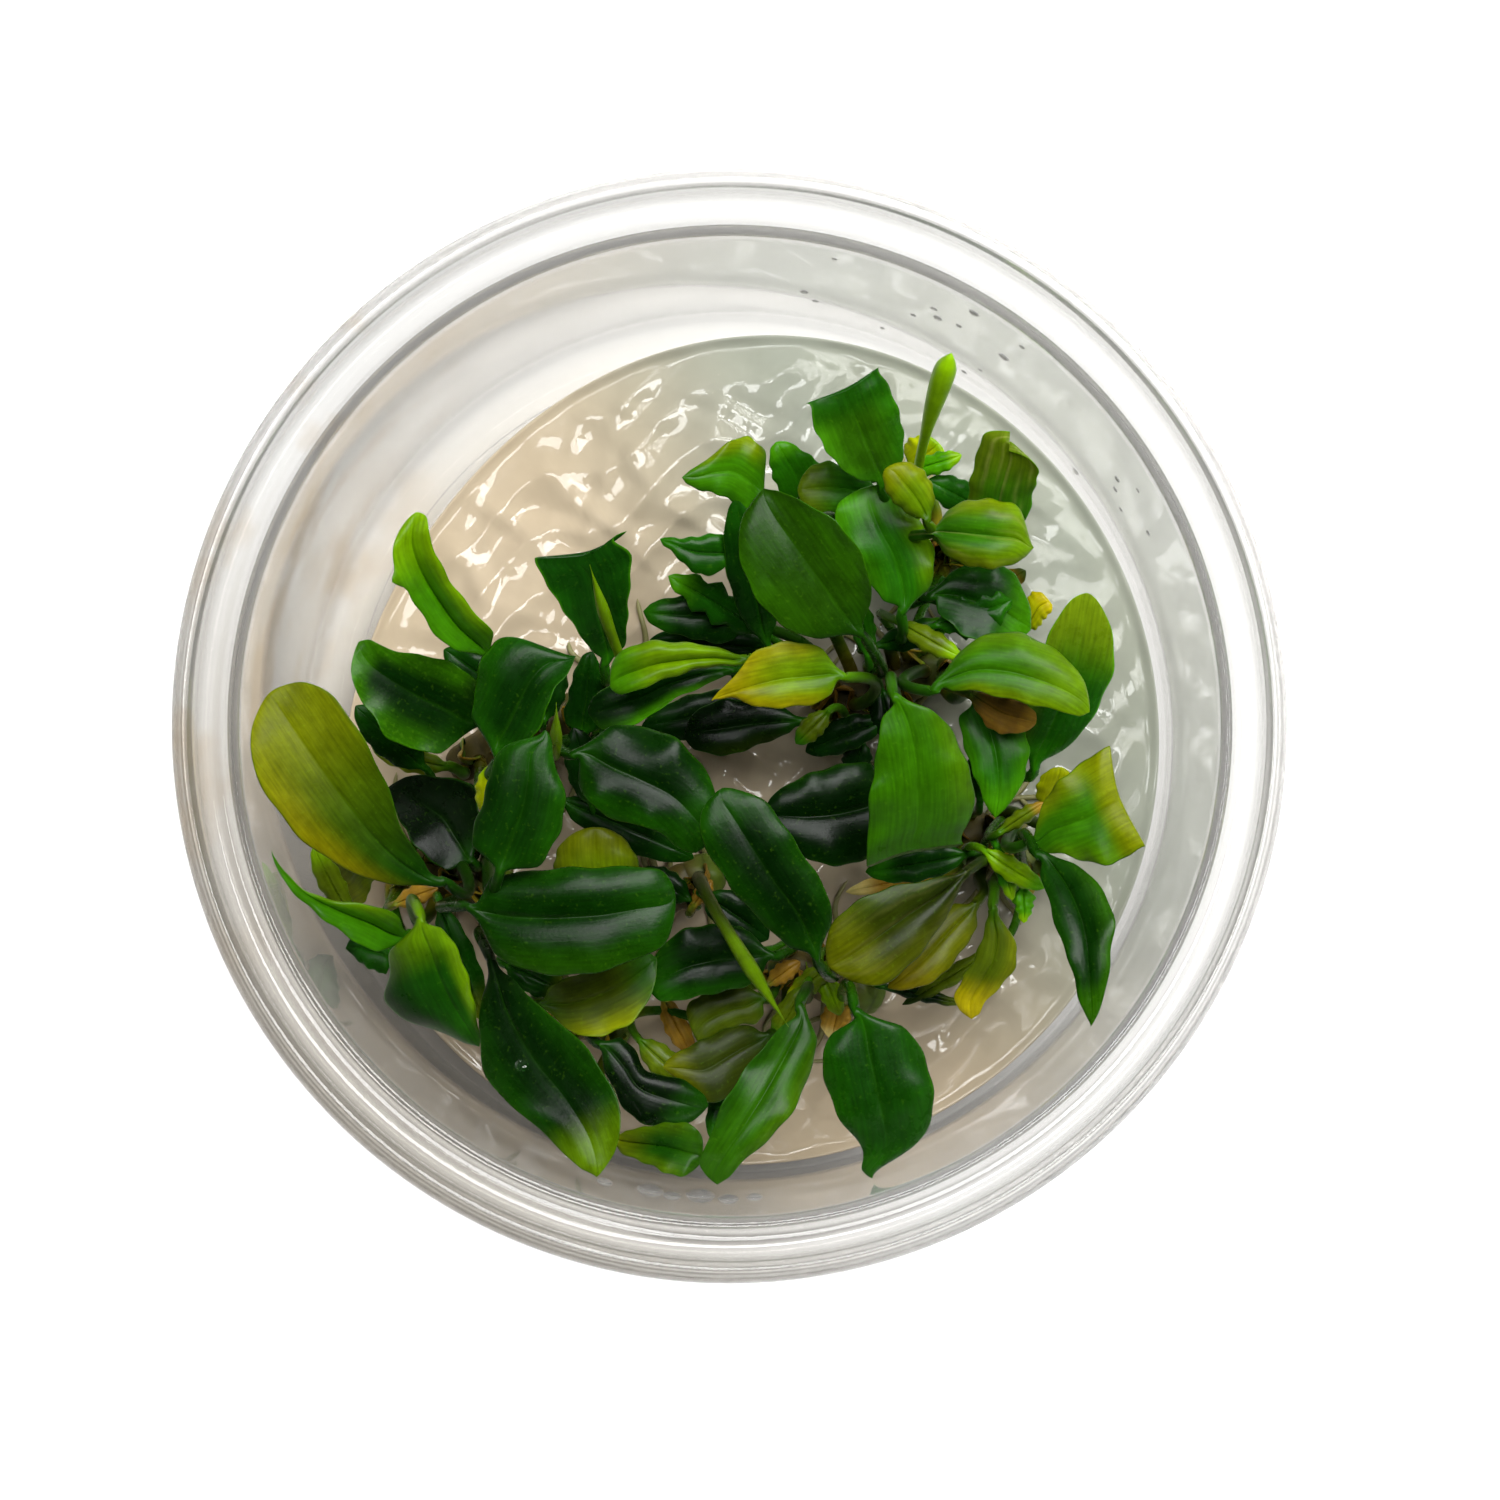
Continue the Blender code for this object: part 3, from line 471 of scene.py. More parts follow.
leafColours = dict(
    black=(0.002, 0.014, 0.001), deep=(0.003, 0.027, 0.001), dark=(0.006, 0.055, 0.001),
    mid=(0.016, 0.12, 0.001), bright=(0.055, 0.25, 0.001), lime=(0.19, 0.38, 0.001), gold=(0.35, 0.41, 0.001),
    yellow=(0.56, 0.46, 0.002), moss=(0.02, 0.085, 0.001), olive=(0.08, 0.125, 0.002),
    brown=(0.16, 0.085, 0.008), ochre=(0.36, 0.20, 0.02), cream=(0.72, 0.60, 0.2),
)
blade = dict(
    stalkRows=14, hangRows=8, thickness=0.38, margin=0.4, groove=0.15, reed=0.02, waves=(2.2, 2.7), depth=0.8,
    across=(0, 0.025, 0.055, 0.1, 0.17, 0.26, 0.36, 0.47, 0.58, 0.69, 0.79, 0.87, 0.935, 0.975, 1.0),
    shares=(0.0, 0.08, 0.25, 0.45, 0.65, 0.82, 0.94, 1.0),
)
paint = dict(tip=0.9, base=0.7, midrib=0.14, edge=0.35, stalk=0.8, foot=0.5)
plainLeaf = dict(
    rise=12, drop=15, roll=0, fold=7, lean=0.8, blunt=0.2, nick=0.1, hang=0, sweep=(0, 0), bulges=(),
    margins=(-0.5, -0.5), ridges=(0.08, 0.08), starts=(0.1, 0.6), wave=0.18, stalk=0.55, rows=52, shade=0.55,
    leftTint=None, rightTint=None, tipFrom=0.6, base="mid", baseTo=0.25, streaks=0.0, specks=0.0,
)
leafLook = dict(
    ior=1.42, specular=0.14, cells=(6, 75, 0), streaks=(0.82, 1.2), cloudCells=420, clouds=(0.78, 1.2),
    grainCells=2400, flecks=(0.62, 0.76), fleckShare=0.6, fleckAtEdge=0.13, fleck=(0.02, 0.05, 0.002),
    dullness=(-0.1, 0.14), reliefOfStreaks=0.7, reliefStrength=0.3, reliefDepth=0.045,
)


def through(knots, values, at):
    # A smooth curve through values at knots: cubic pieces whose end slopes come from the neighbours.
    knots, values = np.asarray(knots, float), np.asarray(values, float)
    slopes = np.gradient(values, knots)
    i = np.clip(np.searchsorted(knots, at) - 1, 0, len(knots) - 2)
    step = knots[i + 1] - knots[i]
    t = np.clip((at - knots[i]) / step, 0, 1)
    rest = 1 - t
    return (values[i] * (1 + 2 * t) * rest**2 + slopes[i] * step * t * rest**2
            + values[i + 1] * t**2 * (3 - 2 * t) - slopes[i + 1] * step * t**2 * rest)


def stretched(share):
    # An angle in place of the share, acos(1 - 2u) / pi, so that a margin closes round at both ends.
    return np.arccos(1 - 2 * np.clip(share, 0, 1)) / np.pi


def slopeAt(angle):
    # Rise over run.
    return np.tan(np.radians(angle))


def bladeSurface(g, u, v):
    # The blade is measured over the level line from neck to tip, with its margins left and right of it. The
    # midrib runs between them, and a point lies v of the way from the midrib to a margin. Its height is the
    # midrib's cubic between the end slopes, plus |v| * tan(fold), v * tan(roll), margins * |v|^3,
    # ridges * sin(pi |v|), waves * |v|^2 and fine reeds. A tip that hangs goes on down past u = 1.
    def either(pair):
        return np.where(v > 0, pair[0], pair[1])

    neck, tip = np.array(g["neck"], float), np.array(g["tip"], float)
    level = (tip - neck) * [1, 1, 0]
    chord = np.linalg.norm(level)
    ahead = level / chord
    side = np.array([-ahead[1], ahead[0], 0.0])
    grow, below = np.clip(u, 0, 1), np.clip(u - 1, 0, 1)
    knots = stretched(blade["shares"])
    left, right = (through(knots, [0, *sizes, 0][:8], stretched(grow)) for sizes in (g["left"], g["right"]))
    middle = g["lean"] * (left - right) / 2
    closing = np.clip((1.003 - grow) / 0.06, 0, 1) ** (0.5 * (1 - g["blunt"]))
    if g["hang"]:
        closing = np.sqrt(1 - below**2)
    for place, spread, toLeft, toRight in g["bulges"]:
        bell = np.exp(-(((grow - place) / spread) ** 2))
        left, right = left + toLeft * bell, right + toRight * bell
    nick = g["nick"] * np.sin(2 * np.pi * (4.3 * grow + g["starts"][0])) * np.sin(np.pi * grow)
    reachLeft = np.maximum(left - middle + nick, 0.12) * closing
    reachRight = np.maximum(right + middle - nick, 0.12) * closing
    reach = np.where(v > 0, reachLeft[:, None], reachRight[:, None])
    size = np.abs(v)
    across = middle[:, None] + v * reach
    sweep = either(g["sweep"]) * (size * np.sqrt(1 - below[:, None] ** 2)) ** 1.6
    curl = 0.05 * g["hang"] * np.sin(np.pi * below)[:, None]
    along = grow[:, None] * chord + sweep * smooth(0.5, 1, grow)[:, None] + curl
    firstSlope = tip[2] - neck[2] + chord * slopeAt(g["rise"])
    lastSlope = tip[2] - neck[2] - chord * slopeAt(g["drop"])
    height = (neck[2] * (1 + 2 * grow) * (1 - grow) ** 2 + firstSlope * grow * (1 - grow) ** 2
              + tip[2] * grow**2 * (3 - 2 * grow) - lastSlope * grow**2 * (1 - grow))
    swell = smooth(0, 0.4, grow)[:, None] if g["hang"] else np.sin(np.pi * grow**0.8)[:, None] ** 0.6
    high = height[:, None] - g["hang"] * (below**0.7)[:, None]
    high = high + size * reach * slopeAt(g["fold"]) * (1 - smooth(0.85, 1, grow))[:, None]
    high = high + v * reach * slopeAt(g["roll"])
    high = high + either(g["margins"]) * size**3 * swell
    high = high + either(g["ridges"]) * np.sin(np.pi * size) * swell
    turns = either([wave * grow[:, None] + start for wave, start in zip(blade["waves"], g["starts"])])
    high = high + g["wave"] * np.sin(2 * np.pi * turns) * size**2 * swell * np.minimum(1, reach / 3)
    high = high + blade["reed"] * np.cos(9 * np.pi * size) * np.sin(np.pi * size) * swell
    points = np.array([neck[0], neck[1], 0.0]) + ahead * along[..., None] + side * across[..., None]
    points[..., 2] = high
    return points, reach, chord, ahead, side


def bladeRings(g, middle, reach, grow, top):
    # Rings about the blade's middle surface, thinner to the margins as (1 - |v|^8)^0.5 * (1 - 0.6 |v|), with
    # a groove above the midrib and a keel below it.
    downTheBlade = np.gradient(middle, axis=0)
    overTheBlade = 1e-4 * (middle[:, :1] - middle[:, -1:]) - np.gradient(middle, axis=1)
    normal = unit(np.cross(downTheBlade, overTheBlade))
    size = np.abs(top)
    body = np.sqrt(1 - size**8) * (1 - (1 - blade["margin"]) * size) * blade["thickness"] / 2
    body = body * np.minimum(1, reach / 1.2)
    rib = np.exp(-((top / 0.07) ** 2)) * (1 - grow**2)
    keel = 0.9 * g["stalk"] * (1 - grow) ** 1.5 * np.exp(-((top / 0.12) ** 2))
    above = middle + normal * (body - blade["groove"] * rib)[..., None]
    under = middle - normal * (body + keel)[..., None]
    return np.concatenate([above, under[:, -2:0:-1]], axis=1)


def leafTint(g, grow, length, v):
    # The body's colour, mixed in turn with those of each side, tip, base, midrib, edge, streaks and stalk. A
    # base darker than the body is painted shade at the neck, and shade scales the whole leaf.
    size = np.abs(v)[None]
    colour = {name: np.array(value) for name, value in leafColours.items()}
    tint = np.ones((len(length), len(v), 1)) * colour[g["body"]]

    def toward(name, share):
        nonlocal tint
        share = np.clip(np.broadcast_to(share, tint.shape[:2]), 0, 1)[..., None]
        tint = tint * (1 - share) + colour[name] * share

    for name, sign in (("leftTint", 1), ("rightTint", -1)):
        if g[name]:
            toward(g[name][0], g[name][1] * smooth(0.3, 0.95, v * sign)[None] * smooth(0.0, 0.3, grow))
    toward(g["tipColour"], smooth(g["tipFrom"], 1.0, grow + 0.06 * np.sin(9 * grow)) * paint["tip"])
    # Painted shade where the base colour is darker than the body, else the leaf's own colour at its neck.
    toward(g["base"], paint["base"] * (1 - smooth(0.0, g["baseTo"], grow)) * (1 - 0.4 * size))
    toward("bright", paint["midrib"] * np.exp(-((v / 0.05) ** 2))[None] * (1 - grow))
    toward("bright", paint["edge"] * smooth(0.93, 0.99, size) * smooth(0.05, 0.3, grow))
    if g["streaks"]:
        bands = np.cos(23 * v[None] + 3 * grow) * np.cos(5 * v)[None]
        toward("cream", g["streaks"] * smooth(0.3, 0.9, bands))
    toward("moss", paint["stalk"] * smooth(-0.02, -0.3, length)[:, None])
    toward("ochre", paint["foot"] * smooth(-0.72, -1.0, length)[:, None])
    # shade is the leaf's tone, and on some leaves, such as northwestLeaf5 and northLeaf12, it is raised for a
    # painted sheen.
    return tint * g["shade"]


def leafSkin(plant, leaf):
    # A round stalk on a cubic curve out of its plant's stem, which turns into a blade.
    g = dict(plainLeaf, **leaf)
    half = np.array(blade["across"])
    top = np.concatenate([half[::-1], -half[1:]])
    u = 0.5 - 0.5 * np.cos(np.pi * np.linspace(0.0, 1.0, g["rows"]) ** 0.95)
    if g["hang"]:
        u = np.concatenate([u, 1 + np.linspace(0, 0.99, blade["hangRows"] + 1)[1:]])
    middle, reach, chord, ahead, side = bladeSurface(g, u, top)
    ring = bladeRings(g, middle, reach, np.clip(u, 0, 1)[:, None], top)

    midrib = middle[:, len(half) - 1]
    neck = midrib[0]
    base, outward = footOn(rhizomes[plant], *g["foot"], -blade["depth"])
    reachUp = np.linalg.norm(neck - base) * 0.38
    arrive = unit(ahead * 0.6 + up * (0.5 + np.sin(np.radians(g["rise"]))))
    stalkPath, stalkWay = curveAt((base, base + outward * reachUp, neck - arrive * reachUp, neck),
                                  np.linspace(0, 0.97, blade["stalkRows"]))
    path = np.concatenate([stalkPath, midrib])
    way = np.concatenate([stalkWay, unit(np.gradient(midrib, axis=0))])
    across = unit(side - way * (way @ side)[:, None])
    over = np.cross(way, across)
    angle = np.arange(ring.shape[1]) * 2 * np.pi / ring.shape[1]
    length = np.concatenate([np.linspace(-1, 0, blade["stalkRows"], endpoint=False), u])
    thick = g["stalk"] * np.where(length < 0, 1.2 - 0.3 * (1 + length) ** 0.7, 0.9)
    spokes = across[:, None] * np.cos(angle)[:, None] + over[:, None] * np.sin(angle)[:, None]
    tube = path[:, None] + spokes * thick[:, None, None]
    mix = (1 - smooth(0.0, 0.12, length))[:, None, None]
    grid = tube * mix + np.concatenate([tube[:len(stalkPath)], ring]) * (1 - mix)

    v = np.concatenate([top, -top[1:-1]])
    grow, size = np.clip(length, 0, 1)[:, None], np.abs(v)[None]
    wide = np.concatenate([reach[:1].repeat(len(stalkPath), axis=0), reach])
    wide = wide[:, [*range(len(top)), *range(len(top) - 2, 0, -1)]]
    place = np.stack([grow * chord / 20 + 0 * v, v * wide / 20, g["specks"] * size**2 + 0 * grow], axis=-1)
    return skin(grid, leafTint(g, grow, length, v), place)


def leafMaterial(name, roughness, look=leafLook):
    # Waxy leaf: the mesh's own tints with streaks along the blade, cloudy mottling and pale flecks, under a
    # soft gloss that is dull in patches. The streaks' noise has 6 cells in 20 mm of length and 75 across it.
    material, tree, shader = newMaterial(name, {"IOR": look["ior"], "Specular IOR Level": look["specular"]})
    where = ownPlace(tree)
    place = ownAttribute(tree, "place", "Vector")
    lengthwise = addNode(tree, "ShaderNodeMapping", {"Scale": look["cells"]}, {"Vector": place}).outputs[0]
    streak = noise(tree, lengthwise, 1, 2)
    patches = noise(tree, where, look["cloudCells"], 3, 0.65)
    grains = noise(tree, where, look["grainCells"], 2)
    streaked = ramp(tree, streak, 0.3, 0.7, *look["streaks"])
    cloudy = ramp(tree, patches, 0.3, 0.7, *look["clouds"])
    shade = addNode(tree, "ShaderNodeVectorMath", {"operation": "SCALE"}, {
        0: ownAttribute(tree, "tint", "Color"), "Scale": mathNode(tree, "MULTIPLY", streaked, cloudy),
    }).outputs[0]
    margin = addNode(tree, "ShaderNodeSeparateXYZ", (), {"Vector": place}).outputs["Z"]
    speckled = mathNode(tree, "ADD", grains, mathNode(tree, "MULTIPLY", margin, look["fleckAtEdge"]))
    fleck = ramp(tree, speckled, *look["flecks"], 0.0, look["fleckShare"])
    feed(shader, "Base Color", mixColours(tree, "ADD", fleck, shade, look["fleck"]))
    gloss = ramp(tree, patches, 0.0, 1.0, *(roughness + change for change in look["dullness"]))
    feed(shader, "Roughness", gloss)
    relief = mathNode(tree, "ADD", mathNode(tree, "MULTIPLY", streak, look["reliefOfStreaks"]), grains)
    feed(shader, "Normal", bump(tree, relief, look["reliefStrength"], look["reliefDepth"]))
    return material


leafMaterials = dict(
    leaf_dark=leafMaterial("leafDark", 0.26), leaf_green=leafMaterial("leafGreen", 0.3),
    leaf_gold=leafMaterial("leafGold", 0.34), leaf_olive=leafMaterial("leafOlive", 0.34),
    leaf_dead=leafMaterial("leafDead", 0.6),
)


# A leaf's name gives its plant and, unless it is a small one that grows on its rhizome, its node. foot is its
# place on the stem and its turn there, and neck and tip are the blade's ends. left and right are the margins'
# distances from the line between the ends, at the inner shares of the blade, and a tip that hangs has one
# more, at its edge. The rest changes plainLeaf.
leaves = dict(
    westLeaf1=dict(foot=(-0.5, 30), neck=(-26.1, -13.8, 37), tip=(-41.6, 3.1, 43),
        left=(3, 5.4, 6.8, 6.7, 5.7, 3.5), right=(-0.2, 0.4, 2.4, 3.6, 4, 2.9),
        blunt=0.7, margins=(-0.3, 0.8),
        shade=0.42, body="mid", leftTint=("yellow", 0.75), rightTint=("mid", 0.5), tipColour="gold",
        tipFrom=0.1, base="dark", baseTo=0.6),
    westLeaf2=dict(foot=(-5.6, 10), neck=(-32.2, -12, 27), tip=(-36.3, -15.7, 21),
        left=(0.2, 0.5, 0.6, 1.2, 1.1, 0.7), right=(1.6, 2.9, 3.9, 4.2, 4.6, 2.9),
        blunt=0.8, shade=0.6, body="olive", tipColour="gold", tipFrom=0.3),
    westLeaf3=dict(foot=(-3.6, -35), neck=(-29.2, -18.5, 35), tip=(-41.4, -11.1, 42),
        left=(2.9, 3.3, 3.1, 2.7, 2, 1), right=(0.6, 0.5, -0.7, -1.6, -1.3, -0.7),
        fold=48, lean=0.9, wave=0.1,
        shade=0.5, body="bright", leftTint=("bright", 0.6), rightTint=("lime", 0.7), tipColour="bright"),
    westLeaf4=dict(foot=(-1.2, -50), neck=(-28.1, -17.4, 38), tip=(-23.2, -29, 31),
        left=(1.2, 1.8, 1.8, 1.4, 0.8, 0.5), right=(3.6, 4.8, 6.3, 4.8, 2.4, 1.1),
        drop=25, lean=0.3, margins=(-1.2, -3.6),
        shade=0.75, body="dark", leftTint=("lime", 0.8), rightTint=("deep", 0.8), tipColour="mid",
        base="lime", baseTo=0.4),
    westLeaf5=dict(foot=(1.8, -10), neck=(-23.8, -16.1, 37), tip=(-5, -15.2, 38),
        left=(2.3, 2.8, 3, 2.9, 2.8, 2.3), right=(4, 6.1, 6.8, 6.5, 5.4, 4.3),
        blunt=0.9, margins=(-0.6, -1), ridges=(0.45, 0.2),
        shade=0.36, body="dark", leftTint=("mid", 0.6), rightTint=("bright", 0.5), tipColour="mid",
        tipFrom=0.6),
    westLeaf6=dict(foot=(4.5, -40), neck=(-21.9, -21.2, 34), tip=(-12.1, -40.7, 42),
        left=(1, 2.1, 4.1, 4.9, 4.5, 2.6), right=(1.7, 3.9, 5, 3.3, 1.9, 0.9),
        margins=(0.8, -0.9), wave=0.5,
        shade=0.42, body="deep", leftTint=("mid", 0.7), rightTint=("mid", 0.5), tipColour="lime",
        tipFrom=0.72, base="black", baseTo=0.5),
    westLeaf7=dict(foot=(2.8, 35), neck=(-20.9, -13.1, 40.5), tip=(-16.7, -0.3, 42.5),
        left=(2.9, 3.5, 3.4, 3.6, 3, 0.7), right=(2.9, 3.8, 4.1, 3.4, 1.6, 0.9),
        blunt=0.8, margins=(-1, -0.8),
        shade=0.48, body="dark", leftTint=("deep", 0.7), rightTint=("mid", 0.9), tipColour="mid",
        tipFrom=0.5),
    westLeaf8=dict(foot=(-2.8, 55), neck=(-24.4, -11.9, 21), tip=(-32.5, -4.8, 18),
        left=(1.9, 2.4, 2.4, 1.8, 1.1, 0.6), right=(2.2, 4.1, 5.5, 4.4, 3.2, 1.9),
        margins=(0.3, 0.6), body="black", tipColour="black"),
    westSmallLeaf=dict(foot=(-5.8, -85), neck=(-32, -20.1, 20), tip=(-36.4, -20.1, 19), slot="leaf_dark",
        left=(2.2, 2.1, 1.8, 1.3, 0.6, 0.1), right=(0.8, 1.4, 1.6, 1.8, 1.4, 0.8),
        shade=1, body="dark", tipColour="deep"),
    northwestLeaf1=dict(foot=(-5.2, 30), neck=(-23, 1.3, 30), tip=(-34.1, 8.1, 35),
        left=(4.5, 5.6, 6.2, 5.1, 4.1, 2.6), right=(2, 2.8, 2.6, 1.5, 0.8, 0.7),
        blunt=0.6, margins=(0.9, 0.6), wave=0.4,
        shade=0.5, body="deep", leftTint=("bright", 0.7), rightTint=("bright", 0.8), tipColour="bright",
        tipFrom=0.8, specks=0.9),
    northwestLeaf2=dict(foot=(-7.2, -20), neck=(-21.1, -2.5, 35.4), tip=(-14.1, 6.6, 37.2),
        left=(4, 5.2, 6.5, 6.8, 5.7, 1.7), right=(0.9, 1.4, 1.2, 0.4, 0.4, 0.2),
        drop=25, lean=0.6, margins=(-1.2, 0.8),
        shade=0.8, body="deep", leftTint=("mid", 0.5), rightTint=("mid", 0.3), tipColour="dark"),
    northwestLeaf3=dict(foot=(-3.2, 50), neck=(-22.1, 6.9, 34), tip=(-28.4, 19.4, 43),
        left=(2.2, 3.5, 3.8, 3.9, 3.6, 2.1), right=(1.3, 0.7, 0.1, -0.1, 0.2, 0.7),
        drop=30, fold=45, lean=1, blunt=0.8, bulges=((0.66, 0.05, 0.9, 0),), wave=0.1,
        shade=0.75, body="bright", leftTint=("bright", 0.8), rightTint=("lime", 0.9), tipColour="lime",
        tipFrom=0.4),
    northwestLeaf4=dict(foot=(3.6, -30), neck=(-14.6, -2.4, 33), tip=(-1.5, -9.9, 33),
        left=(3.8, 5.4, 6.2, 5.6, 4.3, 2.2), right=(1.5, 3, 3, 2.1, 2.4, 2.1),
        margins=(-1.2, -1), wave=0.6,
        shade=0.45, body="deep", leftTint=("dark", 0.5), rightTint=("mid", 0.9), tipColour="mid"),
    northwestLeaf5=dict(foot=(6.8, 30), neck=(-11.9, 6.5, 28), tip=(-13.5, 16, 36),
        left=(0.7, 1.5, 2.4, 3.3, 4, 4.4, 4.4), right=(2, 2.7, 3.2, 3.8, 4.3, 3, 4.3),
        hang=5, sweep=(0.4, 1.4), margins=(0.6, 0.6),
        shade=1.4, body="deep", leftTint=("dark", 0.6), rightTint=("dark", 0.4), tipColour="deep"),
    northwestSmallLeaf1=dict(foot=(3.5, 20), neck=(-14.3, 0, 21), tip=(-13.1, 7.7, 24), slot="leaf_dark",
        left=(1.4, 1.8, 1.6, 1.5, 1.2, 0.8), right=(1.6, 1.9, 1.9, 1.5, 1, 0.5),
        blunt=0.7, shade=1.3, body="deep", tipColour="dark"),
    northwestSmallLeaf2=dict(foot=(-9, -30), neck=(-26.9, -2.7, 17), tip=(-34.1, -1, 17), slot="leaf_olive",
        left=(0.8, 1.3, 1.5, 1.3, 1, 0.5), right=(0.4, 0.8, 1, 1, 0.8, 0.4),
        shade=1.3, body="olive", leftTint=("gold", 0.3), tipColour="olive"),
    centreLeaf=dict(foot=(-2.5, 30), neck=(-12.5, -16, 28), tip=(-12.5, -8.8, 30),
        left=(1.8, 3.3, 3.9, 3.8, 3.1, 1.9), right=(2, 3.6, 4.1, 3.6, 2.8, 1.7),
        blunt=0.9, margins=(-1.5, -1.5),
        shade=0.3, body="lime", leftTint=("gold", 0.5), tipColour="gold", tipFrom=0.1),
    southwestLeaf1=dict(foot=(-3, 40), neck=(-17.8, -25, 26), tip=(-7, -20.8, 27),
        left=(1, 1.2, 1.2, 1.3, 1.3, 0.9), right=(2.4, 4.5, 5, 4.7, 3.4, 1.8),
        lean=0.7, margins=(0.5, 0.6),
        shade=0.65, body="olive", rightTint=("gold", 0.8), tipColour="mid", tipFrom=0.5),
    southwestLeaf2=dict(foot=(1.5, 10), neck=(-12.2, -28.9, 27), tip=(-2.2, -34.5, 26),
        left=(1.5, 1.2, 0, 0.8, 0.9, 0.6), right=(1.4, 2.8, 4.2, 4.3, 3.3, 2.2),
        blunt=0.6, margins=(-0.8, -0.5), shade=0.4, body="black", tipColour="mid", tipFrom=0.6),
    southwestLeaf3=dict(foot=(3.5, -45), neck=(-10.8, -37.4, 30), tip=(-2.7, -39.4, 33),
        left=(0.8, 1.5, 2.3, 2.9, 2.9, 2.1), right=(1.1, 1.4, 1.6, 1.9, 1.9, 1.1),
        fold=25, blunt=0.8,
        shade=0.36, body="mid", leftTint=("lime", 0.5), rightTint=("lime", 0.8), tipColour="bright",
        base="gold", baseTo=0.5),
    southLeaf1=dict(foot=(-1, -35), neck=(6.1, -25.3, 34.5), tip=(-1.2, -41.5, 37),
        left=(2.6, 3.4, 3.6, 2.8, 1.4, 0.7), right=(0.3, 1.3, 2.2, 2.6, 2.4, 2.3),
        drop=35, blunt=0.6, margins=(-0.8, 0.6), wave=0.6,
        shade=0.34, body="bright", leftTint=("lime", 0.4), rightTint=("mid", 0.7), tipColour="bright",
        base="dark", baseTo=0.4),
    southLeaf2=dict(foot=(2.5, -20), neck=(11.3, -25.8, 38), tip=(12.9, -41, 34),
        left=(3.7, 5.6, 6.3, 6.1, 4.4, 1), right=(1.9, 3.4, 3.2, 2.2, 0.6, 0.9),
        drop=30, blunt=0.3, margins=(-1.2, -1), wave=0.4,
        shade=0.62, body="dark", leftTint=("mid", 0.4), rightTint=("mid", 0.5), tipColour="mid",
        tipFrom=0.8),
    southLeaf3=dict(foot=(-4, 45), neck=(3.7, -20.8, 25), tip=(-7.8, -23.6, 26),
        left=(1.2, 2, 2, 1.9, 1.8, 1.4), right=(2.3, 3.7, 4.4, 4.4, 3.4, 1.9),
        blunt=0.6, body="deep", leftTint=("mid", 0.8), tipColour="mid"),
    southLeaf4=dict(foot=(-5, -10), neck=(3, -24.8, 20), tip=(-3.4, -28.5, 21),
        left=(1, 1.4, 0.8, 0.7, 0.9, 1.2), right=(1.9, 2.7, 3.3, 3.4, 3.4, 2.7),
        blunt=0.6, shade=0.7, body="olive", rightTint=("olive", 0.5), tipColour="olive"),
    southLeaf5=dict(foot=(-3, -50), neck=(3.3, -28, 24), tip=(-6.4, -31, 26),
        left=(1.5, 2.8, 3.9, 4.6, 2.6, 1), right=(1, 1.7, 1.6, 1.3, 1, 0.6),
        blunt=0.6, shade=0.26, body="olive", tipColour="gold", tipFrom=0.6),
    southLeaf6=dict(foot=(-0.5, 30), neck=(7.7, -20.9, 37), tip=(-0.8, -5.5, 40),
        left=(1.4, 2.4, 3.4, 3.8, 3.8, 2.7), right=(2.4, 3.8, 3.7, 3.4, 3, 1.5),
        blunt=0.8, margins=(-0.8, -0.6),
        shade=0.42, body="deep", leftTint=("mid", 0.6), rightTint=("mid", 0.6), tipColour="mid",
        tipFrom=0.75),
    eastLeaf1=dict(foot=(1.2, 30), neck=(27.4, -10.3, 34), tip=(35.5, -6.9, 37),
        left=(0.8, 2.6, 3.9, 4.6, 5.1, 5.3, 5.3), right=(1.3, 2.1, 3.6, 4.7, 4.6, 4.4, 4.4),
        hang=3, sweep=(1.2, 0.6), wave=0.5,
        shade=0.5, body="bright", leftTint=("gold", 0.7), rightTint=("lime", 0.5), tipColour="gold",
        tipFrom=0.7, base="mid", baseTo=0.4),
    eastLeaf2=dict(foot=(3.4, -14), neck=(27.8, -11.5, 37), tip=(32.6, -27.1, 40),
        left=(2.7, 4.5, 5, 3.7, 2.4, 1.1), right=(0.2, 0.2, 0.3, 0.1, 0.3, 0.1),
        drop=35, fold=20, lean=0.9,
        shade=0.4, body="dark", leftTint=("bright", 0.7), rightTint=("mid", 0.6), tipColour="bright",
        tipFrom=0.75),
    eastLeaf3=dict(foot=(-2, -35), neck=(21.5, -13, 32), tip=(8.9, -21.6, 33),
        left=(1, 2.4, 3.6, 4.3, 4.1, 2.3), right=(0.6, 1.6, 2.9, 3.4, 3.1, 1.8),
        blunt=0.7, margins=(-0.8, 0.5), ridges=(0.35, 0.5),
        shade=0.26, body="olive", leftTint=("gold", 0.5), rightTint=("lime", 0.4), tipColour="gold",
        tipFrom=0.5, base="deep", baseTo=0.6, streaks=0.12),
    eastLeaf4=dict(foot=(-0.5, -60), neck=(22.5, -15.9, 25), tip=(14.4, -23.6, 27),
        left=(1.5, 2.1, 2.5, 2.6, 1.9, 1), right=(1.2, 1.7, 1.8, 1.5, 1, 0.5),
        shade=0.25, body="gold", tipColour="yellow", tipFrom=0.3),
    eastLeaf5=dict(foot=(1.5, -45), neck=(24, -16.3, 30), tip=(22.2, -26.5, 27),
        left=(1, 2.6, 3.1, 2.2, 1, 0.6), right=(0.3, 0.4, 0.8, 1.5, 2, 1.3),
        shade=0.65, body="olive", leftTint=("gold", 0.5), tipColour="yellow", tipFrom=0.5),
    eastSmallLeaf1=dict(foot=(-1.5, 60), neck=(29.7, -7.3, 25), tip=(30.5, -3.2, 28), slot="leaf_olive",
